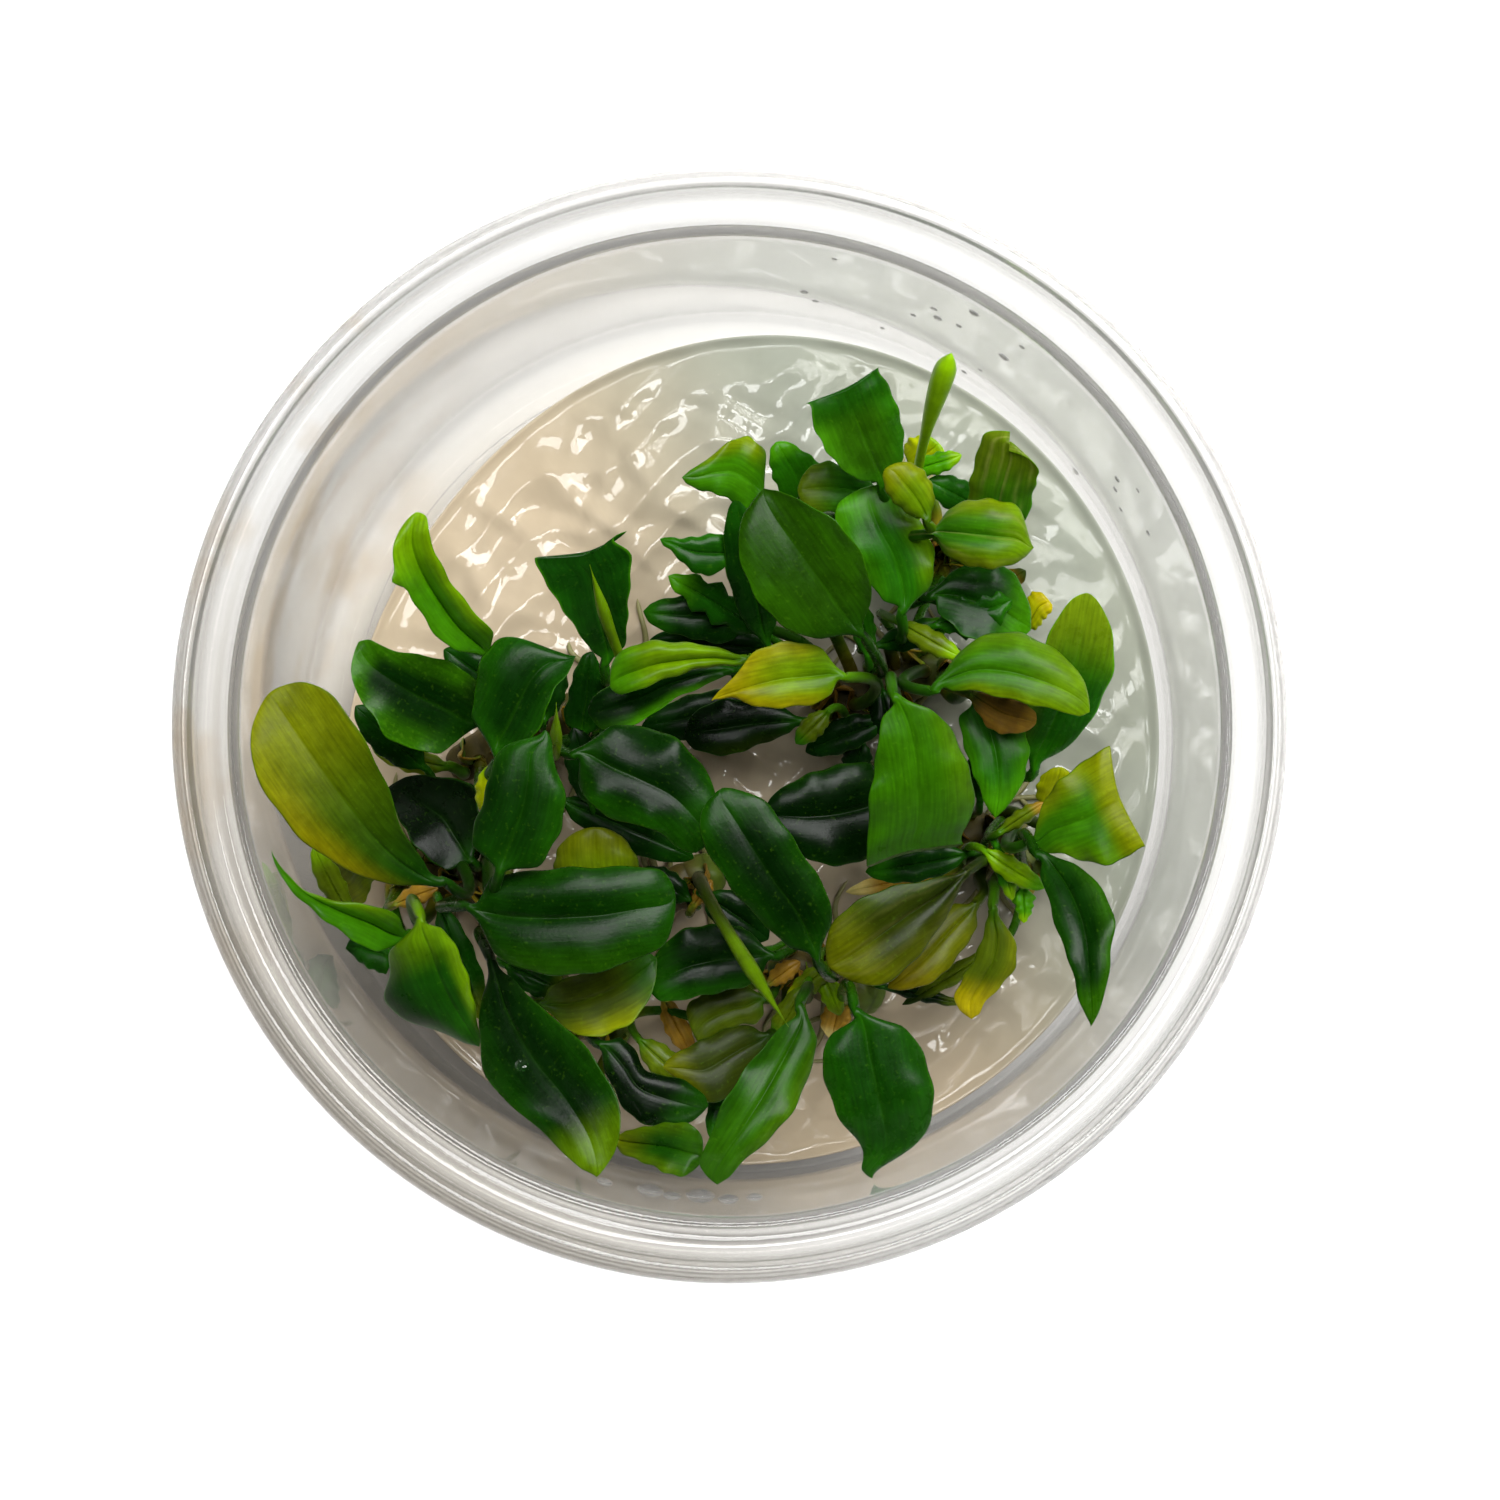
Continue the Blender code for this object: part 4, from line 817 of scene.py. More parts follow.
        left=(0.9, 1.7, 1.9, 1.8, 1.4, 0.8), right=(0.6, 1, 1.3, 1.4, 1.2, 0.7),
        blunt=0.6, shade=0.65, body="gold", tipColour="gold", base="olive"),
    eastSmallLeaf2=dict(foot=(4.6, -80), neck=(27.1, -14.4, 24), tip=(27.1, -17.6, 24), slot="leaf_green",
        left=(0.6, 1.1, 0.9, 0.8, 0.5, 0.3), right=(0.7, 1.2, 0.9, 0.7, 0.5, 0.3),
        shade=1.3, body="bright", tipColour="lime"),
    northLeaf1=dict(foot=(-1.5, 15), neck=(12, 8.5, 41), tip=(3.1, 21.5, 44),
        left=(3, 5.3, 6.2, 5.9, 4.8, 2.9), right=(1.7, 3.4, 3.9, 3.3, 2, 0.9),
        lean=0.5, margins=(-0.8, 1.8),
        shade=0.6, body="moss", leftTint=("bright", 0.25), rightTint=("bright", 0.5), tipColour="moss",
        base="dark"),
    northLeaf2=dict(foot=(1, 45), neck=(15.5, 10.9, 33.6), tip=(12.5, 22.3, 35),
        left=(1.1, 1.9, 2.8, 3.5, 3.7, 2.8), right=(2.7, 4, 4.4, 3.7, 3.3, 2.6),
        blunt=0.8, wave=0.5,
        shade=0.8, body="mid", leftTint=("bright", 0.6), rightTint=("lime", 0.6), tipColour="bright"),
    northLeaf3=dict(foot=(-4, -10), neck=(10.2, 4.6, 38), tip=(-1.7, 2.5, 39),
        left=(1.2, 1.9, 1.8, 1.4, 0.2, 0), right=(2.6, 3.7, 4.1, 3.4, 1.6, 0.7),
        lean=0.7, margins=(-0.5, 0.5), ridges=(0.2, 0.3),
        shade=0.52, body="lime", leftTint=("yellow", 0.7), rightTint=("yellow", 0.6), tipColour="yellow",
        tipFrom=0.25, base="bright", baseTo=0.35),
    northLeaf4=dict(foot=(-6, 20), neck=(1.3, 6.4, 35), tip=(-11, 3.8, 36),
        left=(0.4, 0, 0.1, 0.4, 0.8, 0.8), right=(0.9, 2, 2.8, 3.4, 3.2, 2.4),
        fold=25, blunt=0.8, ridges=(0.5, 0.8), wave=0.1,
        shade=0.58, body="lime", leftTint=("lime", 0.7), rightTint=("lime", 0.8), tipColour="bright"),
    northLeaf5=dict(foot=(-7.2, 55), neck=(0.1, 5.6, 29), tip=(-13.3, 1.9, 29),
        left=(0.3, 0.7, 1.2, 2.2, 2.3, 1.9), right=(1.2, 1.9, 2.1, 1.9, 1.7, 1.2),
        blunt=0.7, margins=(0.6, -0.5), shade=1, body="deep", leftTint=("bright", 0.9), tipColour="black"),
    northLeaf6=dict(foot=(-7, -30), neck=(6.3, 1.3, 19), tip=(-4.6, -0.2, 19),
        left=(0.8, 1.3, 1.8, 2.2, 1.7, 1.1), right=(1.3, 2.1, 2.8, 3.1, 2.6, 1.7),
        shade=0.55, body="black", leftTint=("olive", 0.2), tipColour="black"),
    northLeaf7=dict(foot=(-2, -60), neck=(14.8, -6.2, 25), tip=(3, -7.6, 27),
        left=(3.4, 5.1, 5.5, 4.9, 3.4, 1.8), right=(3.2, 3.9, 3.7, 3.2, 2.4, 1.5),
        blunt=0.7, ridges=(0.3, 0.3),
        shade=0.3, body="deep", leftTint=("dark", 0.6), rightTint=("mid", 0.4), tipColour="deep"),
    northLeaf8=dict(foot=(-0.6, -30), neck=(14.8, 2.7, 41), tip=(16.8, -10.8, 34),
        left=(2.7, 4.7, 5.6, 6.1, 5.7, 4.5, 4.5), right=(1, 1.9, 2.7, 3.6, 4.1, 4.5, 4.6),
        rise=20, drop=40, hang=4, sweep=(0.2, 1), margins=(-1.5, -0.5), wave=0.5,
        shade=0.48, body="bright", leftTint=("lime", 0.4), rightTint=("bright", 0.6), tipColour="bright",
        tipFrom=0.6, base="bright"),
    northLeaf9=dict(foot=(4.6, -60), neck=(22.5, 3, 28), tip=(24.3, -7.9, 28),
        left=(2.3, 3.8, 4.2, 3.6, 2.5, 1.1), right=(1.6, 1.8, 1.6, 1.2, 0.8, 0.4),
        shade=0.85, body="mid", leftTint=("bright", 0.6), rightTint=("bright", 0.5), tipColour="bright"),
    northLeaf10=dict(foot=(3.4, 0), neck=(18.6, 3.4, 37), tip=(32.7, 1.5, 37),
        left=(3.1, 5.6, 6.4, 5.8, 4.5, 2.8), right=(-0.2, -0.5, -0.2, 0.1, 0.3, 0.5),
        fold=10, lean=0.8, blunt=0.6, margins=(-2.2, -0.4), wave=0.1,
        shade=0.5, body="bright", leftTint=("lime", 0.6), rightTint=("gold", 0.5), tipColour="lime",
        tipFrom=0.3, specks=0.4),
    northLeaf11=dict(foot=(5.2, -15), neck=(21.9, 3.4, 32.5), tip=(28, 0.7, 31),
        left=(0.5, 0.9, 1.2, 1.3, 1.2, 0.9), right=(0.7, 1.5, 2.2, 2.1, 1.5, 0.9),
        blunt=0.7, wave=0.5, shade=1, body="brown", tipColour="ochre", tipFrom=0.7),
    northLeaf12=dict(foot=(7.2, -20), neck=(28.2, -3.2, 24), tip=(32.7, 12.5, 35),
        left=(1.7, 2.4, 2.6, 2.5, 2.1, 1.3), right=(1.2, 3.1, 4, 4.2, 3.2, 1.7),
        blunt=0.8, margins=(0.6, -0.6),
        shade=1.8, body="dark", leftTint=("olive", 0.4), tipColour="olive", tipFrom=0.4),
    northLeaf13=dict(foot=(-3, 60), neck=(0.3, 16.6, 30), tip=(-6.6, 17.8, 31),
        left=(1.5, 2.5, 2.6, 1.9, 1, 0.6), right=(1, 1.4, 1, 0.5, 0.3, 0.2),
        fold=15, shade=1, body="dark", rightTint=("mid", 0.6), tipColour="mid"),
    northLeaf14=dict(foot=(-5, 65), neck=(1.4, 10.2, 24), tip=(-8.3, 11.4, 25),
        left=(1.4, 2.1, 2, 1.8, 1.5, 0.9), right=(1.4, 2.6, 2.5, 1.9, 1.4, 0.8),
        shade=0.6, body="deep", rightTint=("mid", 0.6), tipColour="mid", tipFrom=0.6),
    northeastLeaf1=dict(foot=(-3.4, 30), neck=(13.6, 22.3, 37), tip=(10.2, 30.4, 42),
        left=(1.3, 2.5, 3.3, 3.6, 3.6, 3.2, 3.5), right=(2.3, 3.3, 3.9, 4.1, 4.1, 3.8, 3.9),
        hang=5, sweep=(0.2, 0.8), margins=(0.8, -0.8),
        shade=1, body="moss", leftTint=("bright", 0.4), rightTint=("mid", 0.7), tipColour="dark"),
    northeastLeaf2=dict(foot=(2, 20), neck=(17.7, 18.9, 39.5), tip=(14.1, 23.5, 41),
        left=(0.5, 0.9, 1.2, 1.3, 1, 0.6), right=(1.4, 2.2, 2.6, 2.6, 2.2, 1.4),
        blunt=0.9, margins=(-1, -1),
        shade=0.48, body="lime", rightTint=("gold", 0.5), tipColour="gold", tipFrom=0.3),
    northeastLeaf3=dict(foot=(-5, -45), neck=(2.4, 20.7, 32), tip=(-4.5, 23.1, 35),
        left=(0.6, 0.5, 0.3, 0.4, 0.5, 0.3), right=(4.4, 5.4, 5.6, 4, 2, 0.9),
        lean=0.8, wave=0.5,
        shade=0.6, body="bright", leftTint=("mid", 0.5), rightTint=("gold", 0.6), tipColour="bright",
        tipFrom=0.7),
    northeastLeaf4=dict(foot=(-4.3, -5), neck=(13.5, 22, 32), tip=(6.1, 22.1, 33),
        left=(0.8, 1.4, 1.8, 2, 1.8, 1.2), right=(0.9, 1.7, 2.4, 2.7, 2.3, 1.4),
        blunt=0.7, shade=1.1, body="mid", tipColour="olive", tipFrom=0.3),
    northeastLeaf5=dict(foot=(3.5, 45), neck=(23.7, 18.4, 30), tip=(25.4, 26.1, 39),
        left=(1.4, 2.4, 2.7, 2.7, 2.6, 2.3), right=(2, 3.2, 3.2, 3.2, 3.2, 2.4),
        roll=-15, fold=3, blunt=1, sweep=(0.9, -0.9),
        shade=1.4, body="mid", leftTint=("olive", 0.7), tipColour="olive", tipFrom=0.1, streaks=0.1),
    northeastLeaf6=dict(foot=(0, -35), neck=(18.4, 17.7, 38), tip=(27.6, 16.5, 38),
        left=(2, 3.3, 3.8, 3.8, 3.3, 1), right=(1.1, 2.1, 2.5, 2.4, 1.8, 0.9),
        drop=35, lean=0.7, margins=(-1, -1.2), ridges=(0.4, 0.4),
        body="bright", leftTint=("gold", 0.6), rightTint=("gold", 0.7), tipColour="lime", tipFrom=0.4,
        base="dark", baseTo=0.5, streaks=0.12),
    northeastLeaf7=dict(foot=(2, -45), neck=(18.3, 12.3, 30), tip=(27.6, 9.4, 29),
        left=(2.5, 4.1, 4.8, 4.8, 3.4, 1.9), right=(0.9, 1.7, 2.5, 2.3, 2, 1.1),
        margins=(-1, 0.4), shade=0.7, body="dark", leftTint=("mid", 0.5), tipColour="bright", tipFrom=0.5),
    northeastSmallLeaf1=dict(foot=(0.8, 80), neck=(17, 24.4, 27), tip=(19.3, 26.6, 29), slot="leaf_gold",
        left=(1.8, 2.3, 2.5, 2.2, 1.8, 1.3), right=(0.7, 1.3, 1.5, 1.5, 1.3, 0.8),
        blunt=0.9, shade=1, body="gold", tipColour="lime"),
    northeastSmallLeaf2=dict(foot=(-4.6, 60), neck=(6.3, 21.3, 29), tip=(4.1, 26.7, 31), slot="leaf_dark",
        left=(0.7, 1.3, 1.5, 1.4, 1.1, 0.7), right=(2.7, 3, 3, 2.3, 1.6, 1),
        blunt=0.6, shade=1, body="mid", leftTint=("mid", 0.6), tipColour="bright"),
    northeastSmallLeaf3=dict(foot=(4.5, -50), neck=(27.4, 10.3, 22), tip=(29.9, 12, 23), slot="leaf_gold",
        left=(0.7, 1.3, 1.8, 2.2, 2, 1.6), right=(0.8, 0.9, 0.7, 0.5, 0.4, 0.2),
        shade=0.75, body="gold", tipColour="yellow", tipFrom=0.2),
)


def wordsOf(name):
    # northwestSmallLeaf1 becomes northwest, small, leaf and 1.
    return [word.lower() for word in re.findall("[A-Z]?[a-z]+|[0-9]+", name)]


for name, leaf in leaves.items():
    words = wordsOf(name)
    nodes = [] if "slot" in leaf else ["_".join(words)]
    slotName = slotOf[nodes[0]] if nodes else leaf["slot"]
    addPiece(name, [leafSkin(words[0], leaf)], leafMaterials[slotName], nodes)
print("leaves made:", len(leaves))


# The small leaves and bracts low in each clump: plant, neck, tip, width, body and tip colours, and changes.
# Each has the low outline, so many half widths out at the inner shares of the blade.
undergrowth = [
    ("north", (3.3, 8.3, 25), (0.5, 21.5, 33), 4.2, "deep", "dark"),
    ("north", (2.9, 9.4, 23), (-5.9, 14.5, 28), 3.2, "dark", "bright", dict(nick=0.4)),
    ("north", (4.2, 8.1, 18), (-7.8, 9, 20), 3.2, "black", "dark"),
    ("north", (3.4, 3.5, 17), (-8.6, 1, 18), 4.3, "black", "deep"),
    ("north", (14.1, 1.3, 20), (6.8, -1.5, 19), 3.2, "black", "deep"),
    ("north", (12.1, -0.5, 18), (11, -3.6, 17), 2.8, "black", "black"),
    ("northwest", (-16.2, -6, 20), (-3.7, -11.5, 20), 4.1, "deep", "dark"),
    ("centre", (-12.2, -9.9, 17), (-4.1, -8.4, 17), 3.2, "black", "deep"),
    ("east", (21.9, -11.1, 23), (12.4, -12.8, 22), 3.2, "deep", "mid"),
    ("east", (20.4, -12.7, 17), (10.6, -14.6, 16), 1.9, "ochre", "cream"),
    ("northeast", (23.5, 20.5, 27), (18.1, 23.3, 29), 3.1, "dark", "mid"),
    ("northeast", (23.9, 12.4, 26), (27.2, 15, 28), 2.2, "brown", "deep"),
    ("north", (13.5, 8.2, 26), (20.4, 10.3, 27), 2.6, "deep", "bright"),
    ("north", (12.6, 7.2, 27), (11.8, 12.2, 30), 2.2, "mid", "bright"),
    ("west", (-28.9, -3, 20), (-35.2, 2.7, 23), 3.6, "deep", "dark"),
    ("west", (-27.2, -15.9, 24), (-23, -26.8, 22), 3.2, "dark", "olive"),
    ("southwest", (-16.5, -31.3, 22), (-10.7, -36.3, 21), 4.1, "black", "deep"),
    ("southwest", (0.8, -30.9, 20), (-2, -37.8, 21), 3.2, "deep", "mid"),
    ("south", (-6.6, -24.6, 15), (-3.9, -29.9, 15), 2.3, "ochre", "brown"),
    ("east", (25.1, -19.6, 17), (15.9, -25.2, 16), 1.7, "olive", "black"),
    ("south", (13.8, -23.4, 16), (21.9, -25.2, 16), 1.2, "black", "olive"),
    ("south", (6.8, -23.4, 24), (3.7, -28.8, 23), 2.4, "olive", "mid"),
    ("west", (-35.6, -16.8, 24), (-38.8, -10.5, 27), 2.4, "olive", "lime"),
    ("northwest", (-21.1, 3.6, 26), (-26.7, 7.7, 28), 3.3, "deep", "dark"),
    ("west", (-22.7, -7.7, 30), (-22.2, -3.2, 33), 2.2, "gold", "lime"),
    ("east", (24.8, -9.2, 27), (28.9, -6.5, 28), 1.5, "olive", "ochre"),
    ("east", (23.4, -10.9, 27), (28.9, -14.4, 26), 2.2, "lime", "bright"),
    ("east", (24.5, -10.5, 26), (26, -15.5, 25), 1.7, "mid", "lime"),
    ("north", (8.9, 2.1, 24), (5.9, -0.9, 24), 2.2, "olive", "mid"),
    ("north", (15.5, 10.1, 30), (21.2, 6.8, 31), 2.2, "olive", "lime"),
    ("west", (-31.6, -15.8, 20), (-27.6, -14.3, 21), 1.9, "ochre", "brown"),
    ("northeast", (18.9, 9.9, 29), (25.9, 12.2, 30), 3.7, "dark", "mid", dict(nick=0.6, wave=0.5)),
    ("northeast", (17.9, 12.3, 28), (23.8, 14.2, 30), 2.8, "mid", "bright", dict(nick=0.4)),
    ("south", (3.3, -23.3, 20), (6.3, -21.2, 20), 1.9, "ochre", "brown"),
    ("south", (10.2, -24.8, 18), (9.3, -28.5, 17), 2.8, "ochre", "cream"),
    ("south", (9.3, -21.2, 23), (5, -24.9, 22), 2.2, "olive", "gold"),
    ("south", (8.3, -22.1, 22), (10, -26.2, 22), 2.1, "lime", "olive"),
    ("centre", (-13.2, -6.6, 21), (-14.8, 0.6, 24), 3.5, "deep", "black"),
    ("centre", (-2.7, -15, 21), (3.3, -19.1, 20), 3.9, "black", "deep"),
    ("centre", (-3.7, -15.9, 20), (-2, -13.5, 20), 1.5, "ochre", "brown"),
    ("centre", (-4.1, -15.4, 19), (-8.7, -12.6, 19), 2.8, "black", "deep"),
    ("southwest", (-21.1, -21.5, 25), (-15.5, -24.2, 25), 3.3, "dark", "olive"),
    ("south", (2.5, -20.1, 22), (-4, -19.2, 22), 3.7, "black", "deep"),
    ("north", (6.7, 4.3, 19), (-0.3, 6.1, 18), 3.8, "black", "deep"),
    ("north", (13.8, 4.3, 20), (14.7, -0.4, 20), 3.2, "black", "deep"),
    ("northwest", (-12.4, 0, 22), (-8.7, 3.3, 22), 2.8, "black", "deep"),
    ("northwest", (-17.5, 1.3, 24), (-16, 6.9, 25), 2.8, "deep", "dark"),
    ("northeast", (12.8, 23.5, 27), (8.2, 21.6, 28), 3.1, "deep", "mid"),
    ("northeast", (16.6, 24.2, 30), (21.2, 25.5, 31), 2, "bright", "lime"),
    ("east", (18.4, -10.7, 20), (14.2, -7.1, 19), 3.7, "black", "deep"),
    ("east", (23.1, -6.1, 21), (23.6, -0.7, 22), 3.2, "deep", "dark"),
    ("southwest", (-8.7, -28.5, 21), (-4, -32.7, 21), 2.8, "olive", "olive"),
    ("west", (-24.7, -9.8, 19), (-27.9, -6, 19), 3.8, "black", "black"),
]
lowOutline = (0.5, 0.86, 1.0, 0.95, 0.72, 0.4)
lowShape = dict(ends=0.12, turn=45, uneven=0.12, fold=10, foldChange=6)
lowLook = dict(rows=30, wave=0.3, blunt=0.5, stalk=0.42, shade=1.0)


def lowLeaf(index, plant, neck, tip, width, body, tipColour, changes=()):
    # The foot is the nearest place on the stem, turned to the leaf's side of it, and both margins are the
    # outline times half the width, a little wider on one side and then the other.
    r = rhizomes[plant]
    start, end = np.array(r["start"], float), np.array(r["end"], float)
    length = stemLength(r)
    along = (end - start) / length
    toNeck = np.array(neck[:2]) - start
    place = np.clip(toNeck @ along, lowShape["ends"] * length, (1 - lowShape["ends"]) * length) - length / 2
    turn = lowShape["turn"] * np.sign(along[0] * toNeck[1] - along[1] * toNeck[0])
    wider = lowShape["uneven"] * np.cos(2.3 * index)
    left, right = ([width / 2 * share * (1 + skew) for share in lowOutline] for skew in (wider, -wider))
    fold = lowShape["fold"] + lowShape["foldChange"] * np.sin(1.7 * index)
    starts = (0.37 * index % 1, 0.61 * index % 1)
    settings = dict(lowLook, foot=(place, turn), neck=neck, tip=tip, left=left, right=right, body=body,
                    tipColour=tipColour, fold=fold, starts=starts)
    settings.update(changes)
    return leafSkin(plant, settings)


for name in rhizomes:
    skins = [lowLeaf(index, *row) for index, row in enumerate(undergrowth) if row[0] == name]
    addPiece(name + "Undergrowth", skins, leafMaterials["leaf_dark"])
print("low leaves made:", len(undergrowth))


# Rolled young leaves: foot on the stem, a point that pulls the curve, tip, and shades of both parts.
spears = dict(
    northwestSpear1=dict(foot=(0, -40), middle=(-15.9, -5.6, 36.5), tip=(-15.6, 2.1, 45), shades=(0.2, 0.7)),
    northwestSpear2=dict(foot=(9.2, 0), middle=(-10.4, 5.9, 34), tip=(-12.7, 14.7, 42), shades=(0.7, 0.7)),
    centreSpear=dict(
        foot=(2, 0), middle=(-2.5, -15.5, 34), tip=(5.3, -27.1, 44), shades=(0.06, 0.4), radius=0.75),
    northeastLeaf8=dict(
        foot=(-1.4, 62), middle=(16.3, 24.1, 36), tip=(20.0, 33.5, 46), shades=(1.3, 1.1), club=0.7),
)
spearForm = dict(radius=0.6, rows=70, footRows=6, sides=24, lift=0.4, straight=2.5, colour="lime")


def spearSkin(plant, spear):
    # A rolled leaf on a cubic curve from its foot: the radius thins to the middle, swells and closes to a
    # point or to a round club, and the roll shows as a seam where the radius steps with the angle.
    base, outward = footOn(rhizomes[plant], *spear["foot"], -blade["depth"])
    bottom = base + outward * spearForm["straight"]
    middle, tip = np.array(spear["middle"]), np.array(spear["tip"])
    lift = up * np.linalg.norm(middle - bottom) * spearForm["lift"]
    shares = np.linspace(0, 1, spearForm["rows"])
    path, _ = curveAt((bottom, bottom + lift, middle, tip), shares)
    below = np.linspace(0, 0.85, spearForm["footRows"])
    path = np.concatenate([base[None] + (bottom - base) * below[:, None], path])
    s = np.concatenate([np.zeros(spearForm["footRows"]), shares])
    club = spear.get("club", 0.0)
    swelling = 0.9 - 0.15 * smooth(0.1, 0.6, s) + 0.3 * smooth(0.6, 0.93, s) + club * smooth(0.68, 0.94, s)
    closing = (1 - smooth(0.8, 1.0, s)) ** 0.8
    if club:
        closing = np.sqrt(np.clip(1 - smooth(0.93, 1.0, s) ** 1.6, 0, 1))
    turn = np.linspace(0, 1, spearForm["sides"], endpoint=False)
    radius = spear.get("radius", spearForm["radius"])
    radii = (radius * swelling * np.maximum(closing, 0.03))[:, None] * (0.9 + 0.18 * turn)[None]
    low, high = spear["shades"]
    shades = low + (high - low) * smooth(0.3, 0.8, s)[:, None]
    return tubeSkin(path, radii, np.array(leafColours[spearForm["colour"]]) * shades, spearForm["sides"])


for name, spear in spears.items():
    words = wordsOf(name)
    nodes = [node for node in ["_".join(words)] if node in slotOf]
    addPiece(name, [spearSkin(words[0], spear)], leafMaterials["leaf_green"], nodes)
print("rolled leaves made:", len(spears))


def stemSkin(r):
    # A thick stem: the radius falls as (1 - |2s - 1|^5)^0.5 to blunt ends, and leaf scars ring it.
    s = np.linspace(0.0, 1.0, stem["rows"])
    path, _ = stemPath(r, s)
    ends = np.sqrt(np.clip(1 - np.abs(2 * s - 1) ** 5, 0, 1))
    rings = np.abs(np.sin(np.pi * s * stemLength(r) / stem["scar"] / 2)) ** 0.5
    angle = around(stem["sides"])
    lumps = 0.05 * np.sin(3 * angle + 9 * s[:, None]) + 0.04 * np.sin(5 * angle - 14 * s[:, None])
    reach = stem["radius"] * ((0.25 + 0.72 * ends + 0.06 * rings)[:, None] + lumps)
    young = smooth(0.55, 1.0, s)[:, None]
    tint = np.array(stem["old"]) * (1 - young) + np.array(stem["young"]) * young
    return tubeSkin(path, reach, tint * (0.55 + 0.6 * rings[:, None]), stem["sides"])


root = dict(rows=26, sides=9, sink=0.5, old=(0.12, 0.12, 0.03), young=(0.33, 0.33, 0.14))
sheath = dict(rows=20, sides=14, half=1.75, thickness=0.14)


def rootSkin(base, heading, length, radius, wander, seed):
    # A root runs out level, bends down onto the gel and follows it, wandering sideways by a sine.
    t = np.linspace(0, 1, root["rows"])
    side = np.array([-heading[1], heading[0], 0])
    drift = wander * np.sin(np.pi * t * 1.5 + seed) - wander * np.sin(seed)
    path = base + heading * (length * t)[:, None] + side * drift[:, None]
    bed = gelSurface(path[:, 0], path[:, 1]) + radius * root["sink"]
    path[:, 2] = base[2] + (bed - base[2]) * smooth(0.0, 0.55, t)
    radii = radius * (1 - 0.55 * t) * (1 - smooth(0.93, 1.0, t) * 0.9)
    tint = np.array(root["old"]) * (1 - t[:, None]) + np.array(root["young"]) * t[:, None]
    return tubeSkin(path, radii, tint, root["sides"])


def sheathSkin(base, heading, height, width, lean, colours):
    # A papery sheath: part of a tube, (width cos a, width sin a) with a over 200 degrees, that narrows to a
    # point as (1 - t^1.8)^0.7 and leans outwards.
    rows, sides = sheath["rows"], sheath["sides"]
    t = np.linspace(0, 1, rows)[:, None]
    angle = np.linspace(-sheath["half"], sheath["half"], sides)[None]
    spread = width * (1 - t**1.8) ** 0.7 * (1 + 0.25 * np.sin(3 * angle + 4 * t))
    out = np.array([heading[0], heading[1], 0.0])
    side = np.array([-heading[1], heading[0], 0.0])
    spine = base + up * (height * t) + out * (lean * t**1.6)

    def layer(inset):
        reach = np.maximum(spread - inset, 0.02)
        outward, sideways = (np.cos(angle) * reach)[..., None], (np.sin(angle) * reach)[..., None]
        return spine[:, None] + out * outward + side * sideways

    grid = np.concatenate([layer(0.0), layer(sheath["thickness"])[:, ::-1]], axis=1)
    first, last = (np.array(leafColours[name]) for name in colours)
    tint = first * (1 - t[..., None]) + last * t[..., None] + np.zeros((rows, 2 * sides, 3))
    return skin(grid, tint, grid * 0)


barkLook = dict(
    roughness=0.5, specular=0.3, stainCells=700, stain=(0.45, 0.4, 0.35),
    grainCells=1400, grainStrength=0.5, grainDepth=0.12,
)


def stemMaterial(look):
    # Moist rhizome and roots: their own tints, stained, with a fine bark grain.
    settings = {"Roughness": look["roughness"], "Specular IOR Level": look["specular"]}
    material, tree, shader = newMaterial("rhizomeSkin", settings)
    where = ownPlace(tree)
    stained = noise(tree, where, look["stainCells"], 4)
    shade = mixColours(tree, "MULTIPLY", stained, ownAttribute(tree, "tint", "Color"), look["stain"])
    feed(shader, "Base Color", shade)
    grain = noise(tree, where, look["grainCells"], 4)
    feed(shader, "Normal", bump(tree, grain, look["grainStrength"], look["grainDepth"]))
    return material


barkMaterial = stemMaterial(barkLook)
crown = dict(
    roots=9, rootSpan=0.42, rootTurn=(80, 125), rootDepth=0.7, rootLength=(4.0, 9.0), rootRadius=(0.28, 0.5),
    rootWander=(0.4, 1.4), sheaths=8, sheathSpan=0.45, sheathTurn=70, sheathDepth=0.6,
    sheathHeight=(3.0, 6.5), sheathWidth=(0.8, 1.3), sheathLean=(0.5, 2.5),
    sheathColours=(("ochre", "brown"), ("bright", "ochre"), ("lime", "ochre")),
)
dice = np.random.default_rng(7)


def rolledRoot(r):
    # A root low on one side of the stem, with its place, way and size drawn by lot.
    place = dice.uniform(-crown["rootSpan"], crown["rootSpan"]) * stemLength(r)
    turn = dice.choice([-1, 1]) * dice.uniform(*crown["rootTurn"])
    base, outward = footOn(r, place, turn, -crown["rootDepth"])
    heading = unit(np.array([outward[0], outward[1], 0.0]) + dice.uniform(-0.6, 0.6, 3) * [1, 1, 0])
    return rootSkin(base, heading, dice.uniform(*crown["rootLength"]), dice.uniform(*crown["rootRadius"]),
                    dice.uniform(*crown["rootWander"]), dice.uniform(0, 6))


def rolledSheath(r, colours):
    # A sheath on the upper half of the stem, with its place, way and size drawn by lot.
    place = dice.uniform(-crown["sheathSpan"], crown["sheathSpan"]) * stemLength(r)
    turn = dice.uniform(-crown["sheathTurn"], crown["sheathTurn"])
    base, _ = footOn(r, place, turn, -crown["sheathDepth"])
    way = dice.uniform(0, 2 * np.pi)
    return sheathSkin(base, (np.cos(way), np.sin(way)), dice.uniform(*crown["sheathHeight"]),
                      dice.uniform(*crown["sheathWidth"]), dice.uniform(*crown["sheathLean"]), colours)


